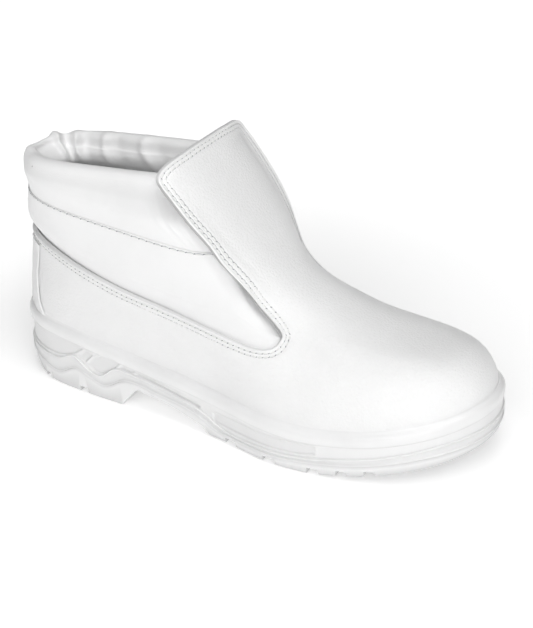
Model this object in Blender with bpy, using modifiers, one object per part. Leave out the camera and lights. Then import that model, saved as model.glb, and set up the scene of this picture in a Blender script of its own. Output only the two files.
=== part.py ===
"""White slip-on safety boot for the right foot, ankle high, with a padded collar and a front flap.

Frame: +X to the toe, +Y to the wearer's left (the inner side), +Z up. The origin is under the
middle of the sole. Tables and functions work in millimetres from the back of the heel, and every
mesh is turned to metres as it is made.
"""
from collections import namedtuple

import bmesh
import bpy
import numpy as np

BOOT = "slip_on_safety_boot"
MM = 0.001

# Driving sizes, in millimetres
LENGTH = 300.0
WALL = 2.2
GAP = 0.3
TUCK_GAP = 1.0
FRONT_TUCK = 1.4
WELT_DEPTH = 11.0
LIP = 3.2
INSOLE_THICKNESS = 4.0
INSOLE_INSET = 8.8
PANEL_INNER = -8.5
PANEL_SWELL = 4.0
SWELL_REACH = 18.0
ROLL_RADIUS = 5.5
GUSSET_THICKNESS = 1.8
BACKSTAY_THICKNESS = 1.2
GROOVE_DEPTH = 3.0
CUTTER_REACH = 80.0
SKY = 260.0

# Mesh steps. A ring of the last has RING_STEPS columns on each side, from the heel to the front.
RING_STEPS = 28
SOLE_STEPS = 2 * RING_STEPS
UPPER_ROWS = 20
PANEL_ROWS = 8
GUSSET_ROWS = 9
COLUMN = np.pi / RING_STEPS
SMALL = 0.01
SMOOTH_ANGLE = 0.7

# Where the padded band stops beside the flap, and how far round the backstay reaches, in columns
BAND_REACH = 23
BACKSTAY_REACH = 5

# Angles from the heel, in radians: where the band starts to tuck deeper, and over how much
FRONT_TUCK_FROM = 1.8
FRONT_TUCK_OVER = 0.3
# Gap in angle beside the gusset, and the share of its width that it loses towards its top
GUSSET_CLEARANCE = 0.05
GUSSET_TAPER = 0.6
# The panel's padding is pinched towards the collar seam: share of its height where that starts, and how much
PINCH_FROM = 0.75
SEAM_PINCH = 0.8

SOLE_WHITE = (0.86, 0.86, 0.87)
UPPER_WHITE = (0.88, 0.88, 0.89)
LINING_WHITE = (0.80, 0.80, 0.80)

Station = namedtuple("Station", "x lateral medial")
SOLE_OUTLINE = [
    Station(9.0, 22.7, 23.0),
    Station(27.0, 34.9, 34.0),
    Station(60.0, 40.9, 38.5),
    Station(102.0, 43.7, 36.0),
    Station(150.0, 48.6, 39.0),
    Station(195.0, 57.3, 47.0),
    Station(225.0, 55.5, 50.4),
    Station(255.0, 49.5, 48.7),
    Station(279.0, 37.2, 38.7),
    Station(294.0, 20.7, 22.6),
]

Level = namedtuple("Level", "x z")
# Top of the welt bead, where the upper comes out of the sole
WELT_LINE = [
    Level(0, 41.0), Level(40, 40.5), Level(72, 37.3), Level(100, 34.1), Level(128, 31.6),
    Level(156, 28.9), Level(190, 27.5), Level(216, 27.0), Level(243, 29.9), Level(263, 33.6),
    Level(280, 37.5), Level(300, 43.0),
]
# Upper and lower edge of the raised rib that waves round the heel and runs on to the toe
RIB_TOP = [
    Level(0, 18.5), Level(26, 19.0), Level(40, 19.3), Level(52, 24.0), Level(61, 18.6), Level(70, 16.2),
    Level(83, 24.3), Level(93, 24.0), Level(121, 20.2), Level(142, 15.9), Level(157, 9.8), Level(185, 9.1),
    Level(210, 10.2), Level(233, 13.9), Level(264, 20.6), Level(281, 25.2), Level(300, 29.0),
]
RIB_FOOT = [
    Level(0, 13.5), Level(24, 10.4), Level(38, 8.4), Level(53, 15.0), Level(64, 12.0), Level(72, 9.6),
    Level(89, 17.2), Level(114, 15.4), Level(138, 12.0), Level(158, 5.2), Level(185, 5.2),
    Level(210, 6.6), Level(238, 10.0), Level(264, 15.2), Level(281, 18.8), Level(300, 22.5),
]
# Underside: bevelled heel back, the plane that it stands on, and toe spring
TREAD_LINE = [
    Level(0, 9.0), Level(8, 6.3), Level(18, 2.6), Level(30, 0.0), Level(120, 0.0), Level(210, 0.0),
    Level(227, 1.6), Level(241, 4.0), Level(263, 8.4), Level(281, 12.6), Level(300, 18.5),
]
# Hollow under the arch in side view: heel breast, roof, and the step down to the forefoot
ARCH = [
    Level(83.0, -1.0), Level(85.5, 1.0), Level(95.5, 12.6), Level(98.5, 13.8), Level(120, 11.2),
    Level(143.5, 4.8), Level(149.5, -1.0),
]

# Side of the midsole from its foot to the bead: height above a named line, and inset from the outline
SideStep = namedtuple("SideStep", "line above inset")
MIDSOLE_SIDE = [
    SideStep("rib_foot", 0.15, 1.1),
    SideStep("rib_foot", 0.9, 0.4),
    SideStep("rib_top", -0.9, 0.4),
    SideStep("rib_top", 0.0, 1.5),
    SideStep("welt", -8.8, 1.5),
    SideStep("welt", -6.6, 0.4),
    SideStep("welt", -4.0, 0.0),
    SideStep("welt", -1.6, 0.6),
    SideStep("welt", -0.2, 2.0),
    SideStep("welt", -0.6, LIP),
]
OUTSOLE_SIDE = [
    SideStep("tread", 0.0, 3.2),
    SideStep("tread", 1.2, 2.1),
    SideStep("rib_foot", -0.15, 1.4),
]

# Rings of the last, from the edge tucked into the sole up to the top of the flap.
# outer and inner are half widths; lean moves the width to the toe, full squares the ends,
# blunt flattens the front, follow is how much the ring takes from the sole's outline and from the
# welt line plus rise, and taper slims the front half between its middle and its tip.
Ring = namedtuple("Ring", "back_x back_z front_x front_z outer inner lean full blunt follow rise inset taper")
RINGS = [
    Ring(5.0, 30.0, 294.5, 32.0, 53.0, 47.0, -0.14, 0.06, 0.00, 1.00, -WELT_DEPTH, 5.2, 0.00),
    Ring(3.6, 41.0, 296.4, 43.0, 52.0, 46.0, -0.14, 0.06, 0.00, 1.00, 0.0, 3.6, 0.00),
    Ring(3.6, 52.0, 293.5, 52.5, 50.0, 44.0, -0.14, 0.06, 0.00, 0.80, 10.0, 3.4, 0.02),
    Ring(4.0, 62.0, 288.0, 61.0, 48.0, 40.0, -0.11, 0.06, 0.00, 0.46, 20.0, 3.4, 0.08),
    Ring(4.5, 71.0, 274.0, 64.8, 45.0, 36.0, -0.02, 0.02, 0.00, 0.12, 30.0, 3.4, 0.17),
    Ring(5.5, 80.0, 251.0, 66.6, 42.0, 35.0, 0.02, 0.01, 0.00, 0.00, 30.0, 3.4, 0.00),
    Ring(6.5, 90.0, 226.0, 72.0, 40.5, 36.0, 0.01, 0.03, 0.00, 0.00, 30.0, 3.4, 0.00),
    Ring(7.0, 100.0, 201.0, 80.6, 41.0, 37.0, 0.00, 0.05, 0.05, 0.00, 30.0, 3.4, 0.00),
    Ring(9.0, 109.0, 182.5, 91.0, 42.5, 36.5, -0.02, 0.07, 0.15, 0.00, 30.0, 3.4, 0.00),
    Ring(12.0, 118.0, 168.5, 109.0, 44.5, 41.0, -0.06, 0.11, 0.30, 0.00, 30.0, 3.4, 0.00),
    Ring(9.0, 131.0, 146.5, 138.0, 46.0, 39.5, -0.12, 0.12, 0.30, 0.00, 30.0, 3.4, 0.00),
]
# The flap leaves the rings at the instep and stands wider, outside the padded collar
FLAP_START = 8
FLAP_RINGS = [
    Ring(9.0, 109.0, 183.5, 91.0, 43.0, 35.5, -0.04, 0.08, 0.20, 0.00, 30.0, 3.4, 0.00),
    Ring(12.0, 118.0, 169.5, 109.0, 50.0, 42.5, -0.10, 0.09, 0.38, 0.00, 30.0, 3.4, 0.00),
    Ring(9.0, 131.0, 147.5, 138.0, 53.0, 45.0, -0.14, 0.07, 0.42, 0.00, 30.0, 3.4, 0.00),
    Ring(8.0, 145.0, 126.5, 162.5, 50.0, 43.0, -0.14, 0.06, 0.48, 0.00, 30.0, 3.4, 0.00),
    Ring(8.0, 151.0, 118.5, 171.5, 48.0, 41.0, -0.14, 0.06, 0.48, 0.00, 30.0, 3.4, 0.00),
]
UPPER_RINGS = RINGS[:FLAP_START] + FLAP_RINGS
WELT_RING = 1.0
BACKSTAY_TOP = 5.75
SEAM_RING = 9.0
GUSSET_FOOT = 6.6
GUSSET_TOP = 9.9
GUSSET_NARROWS = 8.7

# Ridge of the rolled collar, as one more ring
RIM = Ring(13.2, 137.0, 143.5, 146.0, 29.3, 27.3, 0.00, 0.11, 0.0, 0.0, 0.0, 0.0, 0.00)

# Side view of the upper's free edge: heel, quarter, turn under the flap, flap edge, corner and flap top
EDGE = [
    Level(-10, 90.0), Level(12, 88.8), Level(30, 86.6), Level(60, 80.8), Level(89, 75.9), Level(117, 72.5),
    Level(144, 68.6), Level(166, 65.2), Level(179, 63.9), Level(186.0, 65.0), Level(188.4, 68.4),
    Level(185, 73.4), Level(175, 82.5), Level(167, 92.0), Level(160.4, 103.0), Level(153.2, 114.4),
    Level(143.5, 127.5), Level(132.3, 139.2), Level(126.2, 146.4), Level(123.8, 150.6), Level(124.4, 154.6),
    Level(126.6, 158.8), Level(130, 162.0), Level(150, 166.0),
]
EDGE_STEPS = 4

# Section of the collar. Its outer face starts at the seam with a rise in rings and a share of the padding,
# then goes over a roll, given as turns up from the roll's outer side, and down its inner face.
Padding = namedtuple("Padding", "rise share")
COLLAR_FOOT = [Padding(0.0, 0.2), Padding(0.12, 0.9), Padding(0.35, 1.1)]
COLLAR_BULGE = 0.8
OUTER_TURNS = [0.0, 0.55, 1.1, 1.5]
INNER_TURNS = [np.pi, 2.6, 2.1, 1.7]
INNER_SHARES = [0.0, 0.25, 0.55, 0.85]

# Lower edge of the padded panel, hidden inside the quarter
Foot = namedtuple("Foot", "angle ring")
PANEL_FOOT = [
    Foot(0.0, 5.0), Foot(0.6, 5.0), Foot(1.0, 4.6), Foot(1.3, 4.0), Foot(1.55, 3.5), Foot(1.8, 3.2),
    Foot(1.95, 3.5), Foot(2.2, 4.9), Foot(2.4, 5.9), Foot(2.7, 6.8),
]

# Grooves across the tread: place at the outer side, width, and how far the inner end is turned forward
Groove = namedtuple("Groove", "x width turn")
GROOVES = [
    Groove(28.0, 5.0, 0.0), Groove(57.0, 6.0, 0.0), Groove(168.0, 8.0, 0.10), Groove(193.5, 8.5, 0.06),
    Groove(217.0, 7.0, 0.0), Groove(231.0, 6.0, -0.04), Groove(244.5, 6.0, -0.08),
]


def smooth(table, column, at):
    """Smooth curve through a table, read at the given places along its first column."""
    knots = np.array([row[0] for row in table], float)
    values = np.array([getattr(row, column) for row in table], float)
    return smooth_values(knots, values, at)


def smooth_values(knots, values, at):
    """Cubic curve through values at knots. Slopes come from the neighbours, and flat stretches stay flat."""
    at = np.clip(np.asarray(at, float), knots[0], knots[-1])
    span = np.diff(knots)
    rise = np.diff(values) / span
    slope = np.empty_like(values)
    mean = (rise[:-1] * span[1:] + rise[1:] * span[:-1]) / (span[1:] + span[:-1])
    slope[1:-1] = np.where((rise[:-1] == 0) | (rise[1:] == 0), 0.0, mean)
    slope[0] = 1.5 * rise[0] - 0.5 * slope[1]
    slope[-1] = 1.5 * rise[-1] - 0.5 * slope[-2]
    cell = np.clip(np.searchsorted(knots, at, side="right") - 1, 0, len(knots) - 2)
    t = (at - knots[cell]) / span[cell]
    left = values[cell] * (1 + 2 * t) * (1 - t) ** 2 + span[cell] * slope[cell] * t * (1 - t) ** 2
    right = values[cell + 1] * t * t * (3 - 2 * t) + span[cell] * slope[cell + 1] * t * t * (t - 1)
    return left + right


def ease(t):
    """Soft step from 0 to 1."""
    t = np.clip(t, 0.0, 1.0)
    return t * t * (3 - 2 * t)


def outline_half(angle, column):
    """Half width of the sole at an angle from the heel (0) round to the toe (pi)."""
    stations = np.array([row.x for row in SOLE_OUTLINE])
    widths = np.array([getattr(row, column) for row in SOLE_OUTLINE])
    knots = np.concatenate([[0.0], np.arccos(1 - 2 * stations / LENGTH), [np.pi]])
    return smooth_values(knots, np.concatenate([[0.0], widths, [0.0]]), angle)


SWEEP = np.linspace(0.0, np.pi, 721)
CENTRE_Y = (outline_half(SWEEP, "medial").max() - outline_half(SWEEP, "lateral").max()) / 2


def loop_angles(steps):
    """Angles once round a ring: out along the outer side (negative) and back along the inner side."""
    half = np.linspace(0.0, np.pi, steps + 1)
    return np.concatenate([-half, half[-2:0:-1]])


def sole_ring(steps, inset, height):
    """Closed ring on the sole's outline, drawn in by inset, at height(x)."""
    angle = loop_angles(steps)
    turn = np.abs(angle)
    outer = outline_half(turn, "lateral")
    inner = outline_half(turn, "medial")
    half = np.where(angle < 0, outer, inner) - inset * np.sin(turn)
    x = LENGTH / 2 - (LENGTH / 2 - inset) * np.cos(turn)
    y = np.where(angle < 0, -half, half)
    y[turn == 0.0] = 0.0
    y[turn == np.pi] = 0.0
    return np.stack([x, y, height(x)], axis=-1)


LINES = {"welt": WELT_LINE, "rib_top": RIB_TOP, "rib_foot": RIB_FOOT, "tread": TREAD_LINE}


def side_ring(step):
    """Ring of the sole's side for one row of a side table."""
    return sole_ring(SOLE_STEPS, step.inset, lambda x: smooth(LINES[step.line], "z", x) + step.above)


def last_ring(row, angle):
    """Points of one ring of the last at the given angles, negative on the outer side."""
    turn = np.abs(angle)
    t = (1 - np.cos(turn)) / 2
    t = t + row.blunt * t * t * (1 - t)
    wide = np.where(angle < 0, row.outer, row.inner)
    egg = wide * (np.sin(turn) + row.lean * np.sin(2 * turn) + row.full * np.sin(3 * turn))
    sole = np.where(angle < 0, outline_half(turn, "lateral"), outline_half(turn, "medial"))
    half = row.follow * (sole - row.inset * np.sin(turn)) + (1 - row.follow) * egg
    half = half * (1 - row.taper * np.where(turn > np.pi / 2, np.sin(2 * turn), 0.0) ** 2)
    x = row.back_x + (row.front_x - row.back_x) * t
    flat = row.back_z + (row.front_z - row.back_z) * t
    z = row.follow * (smooth(WELT_LINE, "z", x) + row.rise) + (1 - row.follow) * flat
    return np.stack([x, np.where(angle < 0, -half, half), z], axis=-1)


def last_surface(level, angle, rows=tuple(RINGS)):
    """Outer surface of the last. level counts the rings, with smooth steps between them."""
    level, angle = np.broadcast_arrays(np.asarray(level, float), np.asarray(angle, float))
    count = np.arange(len(rows), dtype=float)
    columns = [smooth_values(count, np.array([getattr(r, c) for r in rows]), level) for c in Ring._fields]
    return last_ring(Ring(*columns), angle)


def last_normal(level, angle):
    """Unit normal of the last's surface, pointing out."""
    level, angle = np.broadcast_arrays(np.asarray(level, float), np.asarray(angle, float))
    up = last_surface(level + SMALL, angle) - last_surface(level - SMALL, angle)
    # The two sides of a ring are one curve, so the step across the heel is taken in signed angle
    along = last_surface(level, angle + SMALL) - last_surface(level, angle - SMALL)
    normal = np.cross(up, along)
    return normal / np.linalg.norm(normal, axis=-1, keepdims=True)


def offset(level, angle, depth):
    """Point at a depth outside (positive) or inside (negative) the last's surface."""
    return last_surface(level, angle) + last_normal(level, angle) * np.asarray(depth)[..., None]


def edge_curve():
    """Smooth side-view curve of the upper's free edge."""
    knots = np.arange(len(EDGE), dtype=float)
    at = np.linspace(0, len(EDGE) - 1, (len(EDGE) - 1) * EDGE_STEPS + 1)
    x = smooth_values(knots, np.array([row.x for row in EDGE], float), at)
    z = smooth_values(knots, np.array([row.z for row in EDGE], float), at)
    return np.stack([x, z], axis=-1)


def opening_loop():
    """Closed side-view outline of all that the upper's free edge leaves open, behind and above it."""
    curve = edge_curve()
    behind = curve[0, 0] - CUTTER_REACH
    sky = np.array([[curve[-1, 0], SKY], [behind, SKY], [behind, curve[0, 1]]])
    return np.concatenate([curve, sky])


def clear_of_edge(points):
    """How far, in side view, points lie inside the opening that the upper's free edge leaves."""
    loop = opening_loop()
    flat = points[..., [0, 2]]
    nearest = np.full(flat.shape[:-1], np.inf)
    inside = np.zeros(flat.shape[:-1], bool)
    for start, end in zip(loop, np.roll(loop, -1, axis=0)):
        run = end - start
        share = np.clip(((flat - start) @ run) / (run @ run), 0, 1)
        nearest = np.minimum(nearest, np.linalg.norm(flat - start - share[..., None] * run, axis=-1))
        crosses = (start[1] > flat[..., 1]) != (end[1] > flat[..., 1])
        reach = start[0] + (flat[..., 1] - start[1]) / np.where(run[1] == 0, 1e-9, run[1]) * run[0]
        inside ^= crosses & (flat[..., 0] < reach)
    return np.where(inside, nearest, 0.0)


def swell(level, angle):
    """Padding of the panel and collar: 0 where the upper presses it, 1 well clear of the edge."""
    return ease(clear_of_edge(last_surface(level, angle)) / SWELL_REACH)


def to_frame(points):
    """Millimetres from the heel to metres about the origin."""
    return (np.asarray(points) - np.array([LENGTH / 2, CENTRE_Y, 0.0])) * MM


def new_object(name, mesh_data, collection):
    """Object for a finished bmesh, faces out."""
    bmesh.ops.recalc_face_normals(mesh_data, faces=mesh_data.faces)
    mesh = bpy.data.meshes.new(name)
    mesh_data.to_mesh(mesh)
    mesh_data.free()
    obj = bpy.data.objects.new(name, mesh)
    collection.objects.link(obj)
    return obj


def add_grid(mesh_data, points):
    """Vertices for a grid of points, kept as nested lists."""
    return [[mesh_data.verts.new(p) for p in row] for row in to_frame(points)]


def join_rows(mesh_data, low, high, wrap):
    """Quads between two rows of vertices."""
    count = len(low) if wrap else len(low) - 1
    for i in range(count):
        j = (i + 1) % len(low)
        mesh_data.faces.new((low[i], low[j], high[j], high[i]))


def close_across(mesh_data, ring):
    """Close a ring with strips from its outer side straight across to its inner side."""
    count = len(ring)
    for i in range(count // 2):
        corners = [ring[i], ring[i + 1], ring[count - i - 1], ring[-i]]
        if i == 0:
            corners = [ring[0], ring[1], ring[-1]]
        elif i == count // 2 - 1:
            corners = [ring[i], ring[i + 1], ring[i + 2]]
        mesh_data.faces.new(corners)


def stack(name, rings, collection):
    """Solid lofted through closed rings and closed at both ends."""
    mesh_data = bmesh.new()
    rows = add_grid(mesh_data, rings)
    for low, high in zip(rows, rows[1:]):
        join_rows(mesh_data, low, high, True)
    close_across(mesh_data, rows[0])
    close_across(mesh_data, rows[-1])
    return new_object(name, mesh_data, collection)


def slab(name, outside, inside, collection):
    """Solid between two open surfaces of like grids, closed along all four borders."""
    mesh_data = bmesh.new()
    out_rows = add_grid(mesh_data, outside)
    in_rows = add_grid(mesh_data, inside)
    for rows in (out_rows, in_rows):
        for low, high in zip(rows, rows[1:]):
            join_rows(mesh_data, low, high, False)
    join_rows(mesh_data, out_rows[0], in_rows[0], False)
    join_rows(mesh_data, out_rows[-1], in_rows[-1], False)
    for end in (0, -1):
        join_rows(mesh_data, [row[end] for row in out_rows], [row[end] for row in in_rows], False)
    return new_object(name, mesh_data, collection)


def boolean(obj, cutter):
    """Cut one solid by another and keep the cutter as a hidden guide."""
    cut = obj.modifiers.new(cutter.name, "BOOLEAN")
    cut.operation = "DIFFERENCE"
    cut.object = cutter
    cutter.hide_render = True
    cutter.display_type = "WIRE"


def finish(obj, material):
    """Material and smooth shading."""
    obj.data.materials.append(material)
    obj.data.shade_smooth()
    obj.data.set_sharp_from_angle(angle=SMOOTH_ANGLE)


def plain_material(name, colour, roughness):
    """Principled material of one colour."""
    material = bpy.data.materials.new(name)
    material.use_nodes = True
    shader = material.node_tree.nodes["Principled BSDF"]
    shader.inputs["Base Color"].default_value = (*colour, 1.0)
    shader.inputs["Roughness"].default_value = roughness
    shader.inputs["Metallic"].default_value = 0.0
    return material


def make_outsole(parts, cutters):
    """Tread with heel block, arch, lugs and toe spring."""
    outsole = stack("outsole", [side_ring(step) for step in OUTSOLE_SIDE], parts)
    boolean(outsole, prism("arch", [(row.x, row.z) for row in ARCH], cutters))
    for number, groove in enumerate(GROOVES, start=1):
        floor = float(smooth(TREAD_LINE, "z", groove.x))
        bpy.ops.mesh.primitive_cube_add(size=1.0, rotation=(0.0, 0.0, -groove.turn))
        cutter = bpy.context.object
        cutter.name = f"groove_{number}"
        cutter.scale = np.array([groove.width, 2 * CUTTER_REACH, 2 * GROOVE_DEPTH]) * MM
        cutter.location = to_frame([groove.x, CENTRE_Y, floor])
        for home in list(cutter.users_collection):
            home.objects.unlink(cutter)
        cutters.objects.link(cutter)
        boolean(outsole, cutter)
    return outsole


def make_midsole(parts):
    """Midsole cup: rib, wall and bead outside, then the lip's inner face and the floor."""
    rings = [side_ring(step) for step in MIDSOLE_SIDE]
    rings.append(side_ring(SideStep("welt", -WELT_DEPTH - GAP, RINGS[0].inset - GAP)))
    return stack("midsole", rings, parts)


def make_insole(parts):
    """Insole lying on the midsole's floor inside the upper."""
    low = SideStep("welt", -WELT_DEPTH, INSOLE_INSET)
    top = SideStep("welt", INSOLE_THICKNESS - WELT_DEPTH, INSOLE_INSET)
    return stack("insole", [side_ring(low), side_ring(top)], parts)


def upper_levels():
    """Levels of the rows in the upper's mesh."""
    return np.linspace(0.0, len(UPPER_RINGS) - 1.0, UPPER_ROWS + 1)


def make_upper(parts, cutters):
    """Vamp, quarters and flap in one hollow shell, open below and behind the flap."""
    angle = loop_angles(RING_STEPS)
    mesh_data = bmesh.new()
    rows = add_grid(mesh_data, [last_surface(level, angle, UPPER_RINGS) for level in upper_levels()])
    for low, high in zip(rows, rows[1:]):
        join_rows(mesh_data, low, high, True)
    upper = new_object("upper", mesh_data, parts)
    wall = upper.modifiers.new("wall", "SOLIDIFY")
    wall.thickness = WALL * MM
    wall.offset = -1.0
    wall.use_even_offset = True
    boolean(upper, prism("free_edge", opening_loop(), cutters))
    return upper


def prism(name, loop, cutters):
    """Cutter across the whole boot with the given outline in side view."""
    mesh_data = bmesh.new()
    near = [mesh_data.verts.new(to_frame([x, -CUTTER_REACH, z])) for x, z in loop]
    face = mesh_data.faces.new(near)
    grown = bmesh.ops.extrude_face_region(mesh_data, geom=[face])
    moved = [item for item in grown["geom"] if isinstance(item, bmesh.types.BMVert)]
    bmesh.ops.translate(mesh_data, verts=moved, vec=(0.0, 2 * CUTTER_REACH * MM, 0.0))
    return new_object(name, mesh_data, cutters)


def band_angles():
    """Angles of the padded band, from beside the flap round the heel to the other side."""
    return np.arange(-BAND_REACH, BAND_REACH + 1) * COLUMN


def tuck_depth(level, angle, fade):
    """Depth of the padded band's outer face: under the wall, swelling where nothing presses it."""
    deeper = FRONT_TUCK * ease((np.abs(angle) - FRONT_TUCK_FROM) / FRONT_TUCK_OVER)
    return -(WALL + TUCK_GAP + deeper) + PANEL_SWELL * swell(level, angle) * fade


def make_panel(parts):
    """Padded ankle panel: a band round the heel, tucked into the quarters and under the flap."""
    angle = band_angles()
    foot = smooth(PANEL_FOOT, "ring", np.abs(angle))
    outside = []
    inside = []
    for share in np.linspace(0.0, 1.0, PANEL_ROWS + 1):
        level = foot + (SEAM_RING - foot) * share
        fade = 1.0 - SEAM_PINCH * ease((share - PINCH_FROM) / (1.0 - PINCH_FROM))
        outside.append(offset(level, angle, tuck_depth(level, angle, fade)))
        inside.append(offset(level, angle, np.full_like(angle, PANEL_INNER)))
    outside[-1] = outside[-1] - np.array([0.0, 0.0, GAP])
    inside[-1] = inside[-1] - np.array([0.0, 0.0, GAP])
    return slab("ankle_panel", outside, inside, parts)


def make_collar(parts):
    """Rolled padded collar, standing on the panel and leaning in to its ridge."""
    angle = band_angles()
    seam = np.full_like(angle, SEAM_RING)
    up = np.array([0.0, 0.0, 1.0])
    along = last_ring(RIM, angle + SMALL) - last_ring(RIM, angle - SMALL)
    out = np.cross(up, along)
    out = out / np.linalg.norm(out, axis=-1, keepdims=True)
    centre = last_ring(RIM, angle) - ROLL_RADIUS * up

    def on_roll(turn):
        """Points on the roll, turned up from its outer side."""
        return centre + ROLL_RADIUS * (out * np.cos(turn) + up * np.sin(turn))

    outside = []
    for row in COLLAR_FOOT:
        level = seam + row.rise
        outside.append(offset(level, angle, tuck_depth(level, angle, row.share)))
    outside.append((outside[-1] + on_roll(OUTER_TURNS[0])) / 2 + COLLAR_BULGE * out)
    outside += [on_roll(turn) for turn in OUTER_TURNS]
    foot = offset(seam, angle, np.full_like(angle, PANEL_INNER))
    head = on_roll(INNER_TURNS[0])
    inside = [foot * (1 - share) + head * share for share in INNER_SHARES]
    inside += [on_roll(turn) for turn in INNER_TURNS]
    return slab("collar", outside, inside, parts)


def make_gusset(parts):
    """Elastic gusset that closes the front under the flap, between the ends of the padded band."""
    reach = (RING_STEPS - BAND_REACH) * COLUMN
    across = np.arange(BAND_REACH - RING_STEPS, RING_STEPS - BAND_REACH + 1) * COLUMN
    across = np.clip(across, GUSSET_CLEARANCE - reach, reach - GUSSET_CLEARANCE)
    near = np.full_like(across, -WALL - TUCK_GAP)
    outside = []
    inside = []
    for level in np.linspace(GUSSET_FOOT, GUSSET_TOP, GUSSET_ROWS):
        taper = GUSSET_TAPER * ease((level - GUSSET_NARROWS) / (GUSSET_TOP - GUSSET_NARROWS))
        turn = np.pi + across * (1 - taper)
        angle = np.where(turn > np.pi, turn - 2 * np.pi, turn)
        outside.append(offset(level, angle, near))
        inside.append(offset(level, angle, near - GUSSET_THICKNESS))
    return slab("gusset", outside, inside, parts)


def make_backstay(parts):
    """Strip over the back seam, from the bead up to the quarter's edge."""
    angle = np.arange(-BACKSTAY_REACH, BACKSTAY_REACH + 1) * COLUMN
    levels = upper_levels()
    levels = levels[(levels > WELT_RING) & (levels < BACKSTAY_TOP)]
    levels = [WELT_RING + 0.05, *levels, BACKSTAY_TOP]
    outside = [offset(level, angle, np.full_like(angle, GAP + BACKSTAY_THICKNESS)) for level in levels]
    inside = [offset(level, angle, np.full_like(angle, GAP)) for level in levels]
    return slab("backstay", outside, inside, parts)


def new_collection(name):
    """Collection in the scene."""
    collection = bpy.data.collections.new(name)
    bpy.context.scene.collection.children.link(collection)
    return collection


def main():
    for old in list(bpy.data.objects):
        bpy.data.objects.remove(old)
    parts = new_collection(BOOT)
    cutters = new_collection("cutters")
    finish(make_outsole(parts, cutters), plain_material("tread_polyurethane", SOLE_WHITE, 0.50))
    finish(make_midsole(parts), plain_material("midsole_polyurethane", SOLE_WHITE, 0.45))
    finish(make_insole(parts), plain_material("insole_felt", LINING_WHITE, 0.90))
    finish(make_upper(parts, cutters), plain_material("upper_microfibre", UPPER_WHITE, 0.42))
    finish(make_panel(parts), plain_material("panel_microfibre", UPPER_WHITE, 0.45))
    finish(make_collar(parts), plain_material("collar_microfibre", UPPER_WHITE, 0.45))
    finish(make_gusset(parts), plain_material("gusset_elastic", LINING_WHITE, 0.85))
    finish(make_backstay(parts), plain_material("backstay_microfibre", UPPER_WHITE, 0.42))


if __name__ == "__main__":
    main()
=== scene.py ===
"""Looks of the white slip-on safety boot for the right foot, as an add-on with one operator per piece.

Frame: +X to the toe, +Y to the inner side, +Z up. Tables and functions work in millimetres from the back
of the heel, as the part's source does, and every mesh is turned to metres as it is laid.
"""
from collections import namedtuple

import bpy
import numpy as np
from mathutils import Matrix, Vector


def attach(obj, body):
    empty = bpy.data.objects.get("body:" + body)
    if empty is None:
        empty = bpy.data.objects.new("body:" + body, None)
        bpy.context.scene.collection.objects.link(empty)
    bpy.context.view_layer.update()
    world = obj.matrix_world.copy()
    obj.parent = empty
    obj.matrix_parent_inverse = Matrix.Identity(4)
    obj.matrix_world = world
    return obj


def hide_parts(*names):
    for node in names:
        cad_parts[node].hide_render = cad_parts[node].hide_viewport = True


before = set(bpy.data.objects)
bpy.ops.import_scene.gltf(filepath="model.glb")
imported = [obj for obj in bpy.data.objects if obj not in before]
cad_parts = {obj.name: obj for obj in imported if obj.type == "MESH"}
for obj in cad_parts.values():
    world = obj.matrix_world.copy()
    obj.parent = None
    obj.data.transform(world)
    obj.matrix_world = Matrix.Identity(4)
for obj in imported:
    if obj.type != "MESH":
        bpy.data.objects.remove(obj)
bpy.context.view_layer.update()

bl_info = {
    "name": "Slip-on safety boot",
    "version": (1, 0, 0),
    "blender": (4, 5, 0),
    "location": "View3D > Sidebar > Boot",
    "description": "Pieces and studio of a white slip-on safety boot",
    "category": "Object",
}

MM = 0.001
BODY = "root"


def listed(kind, *values):
    """Table whose rows are all of one named kind."""
    return [kind(*value) for value in values]


# Sizes in millimetres, after the solids, and how far cutters reach past the boot
LENGTH = 300.0
WALL = 2.2
GAP = 0.3
WELT_DEPTH = 11.0
INSOLE_THICKNESS = 4.0
INSOLE_INSET = 8.8
PANEL_INNER = -8.5
ROLL_RADIUS = 5.5
GUSSET_THICKNESS = 1.8
GROOVE_DEPTH = 3.6
CUTTER_REACH = 80.0
SKY = 260.0

# Padding: how deep the band lies under the upper's wall, and deeper in front, how far it swells, and how soon
# past the edge and beside the flap. Then its seam under the collar: gap, pinch, place and reach of the
# stitches, and rows over the band's top.
TUCK = 0.5
FRONT_TUCK = 1.6
FRONT_TUCK_FROM = 1.8
FRONT_TUCK_OVER = 0.3
FRONT_TUCK_CLEARS = 3.5
PANEL_SWELL = 4.2
SWELL_REACH = 13.0
FLAP_CREVICE = 0.4
FLAP_REACH = 3.0
BAND_REACH = 2.58
SEAM_GAP = 0.08
SEAM_PINCH = 0.14
PINCH_FROM = 0.97
SEAM_ROW = 0.985
SEAM_REACH = 2.35
TOP_SHARES = (0.33, 0.67)

# Mesh steps
EDGE_STEPS = 240
UPPER_ROWS = 44
BAND_STEPS = 480
PANEL_ROWS = 64
COLLAR_ROWS = 84
SOLE_STEPS = 600
TREAD_STEPS = 180
WALL_ROWS = 50
GUSSET_STEPS = 60
GUSSET_ROWS = 40
BACKSTAY_ROWS = 69
UNDER_STEP = 3
INNER_STEP = 4
BEAD_SEGMENTS = 8
BEAD_RINGS = 6
SMALL = 0.01

# Search for the free edge on the last: levels and shares tried first, then rounds of limited steps
EDGE_LEVELS = np.linspace(4.0, 12.0, 161)
EDGE_SHARES = np.linspace(-0.1, 1.1, 241)
EDGE_ROUNDS = 12
LEVEL_LIMIT = 0.2
SHARE_LIMIT = 0.05

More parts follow.
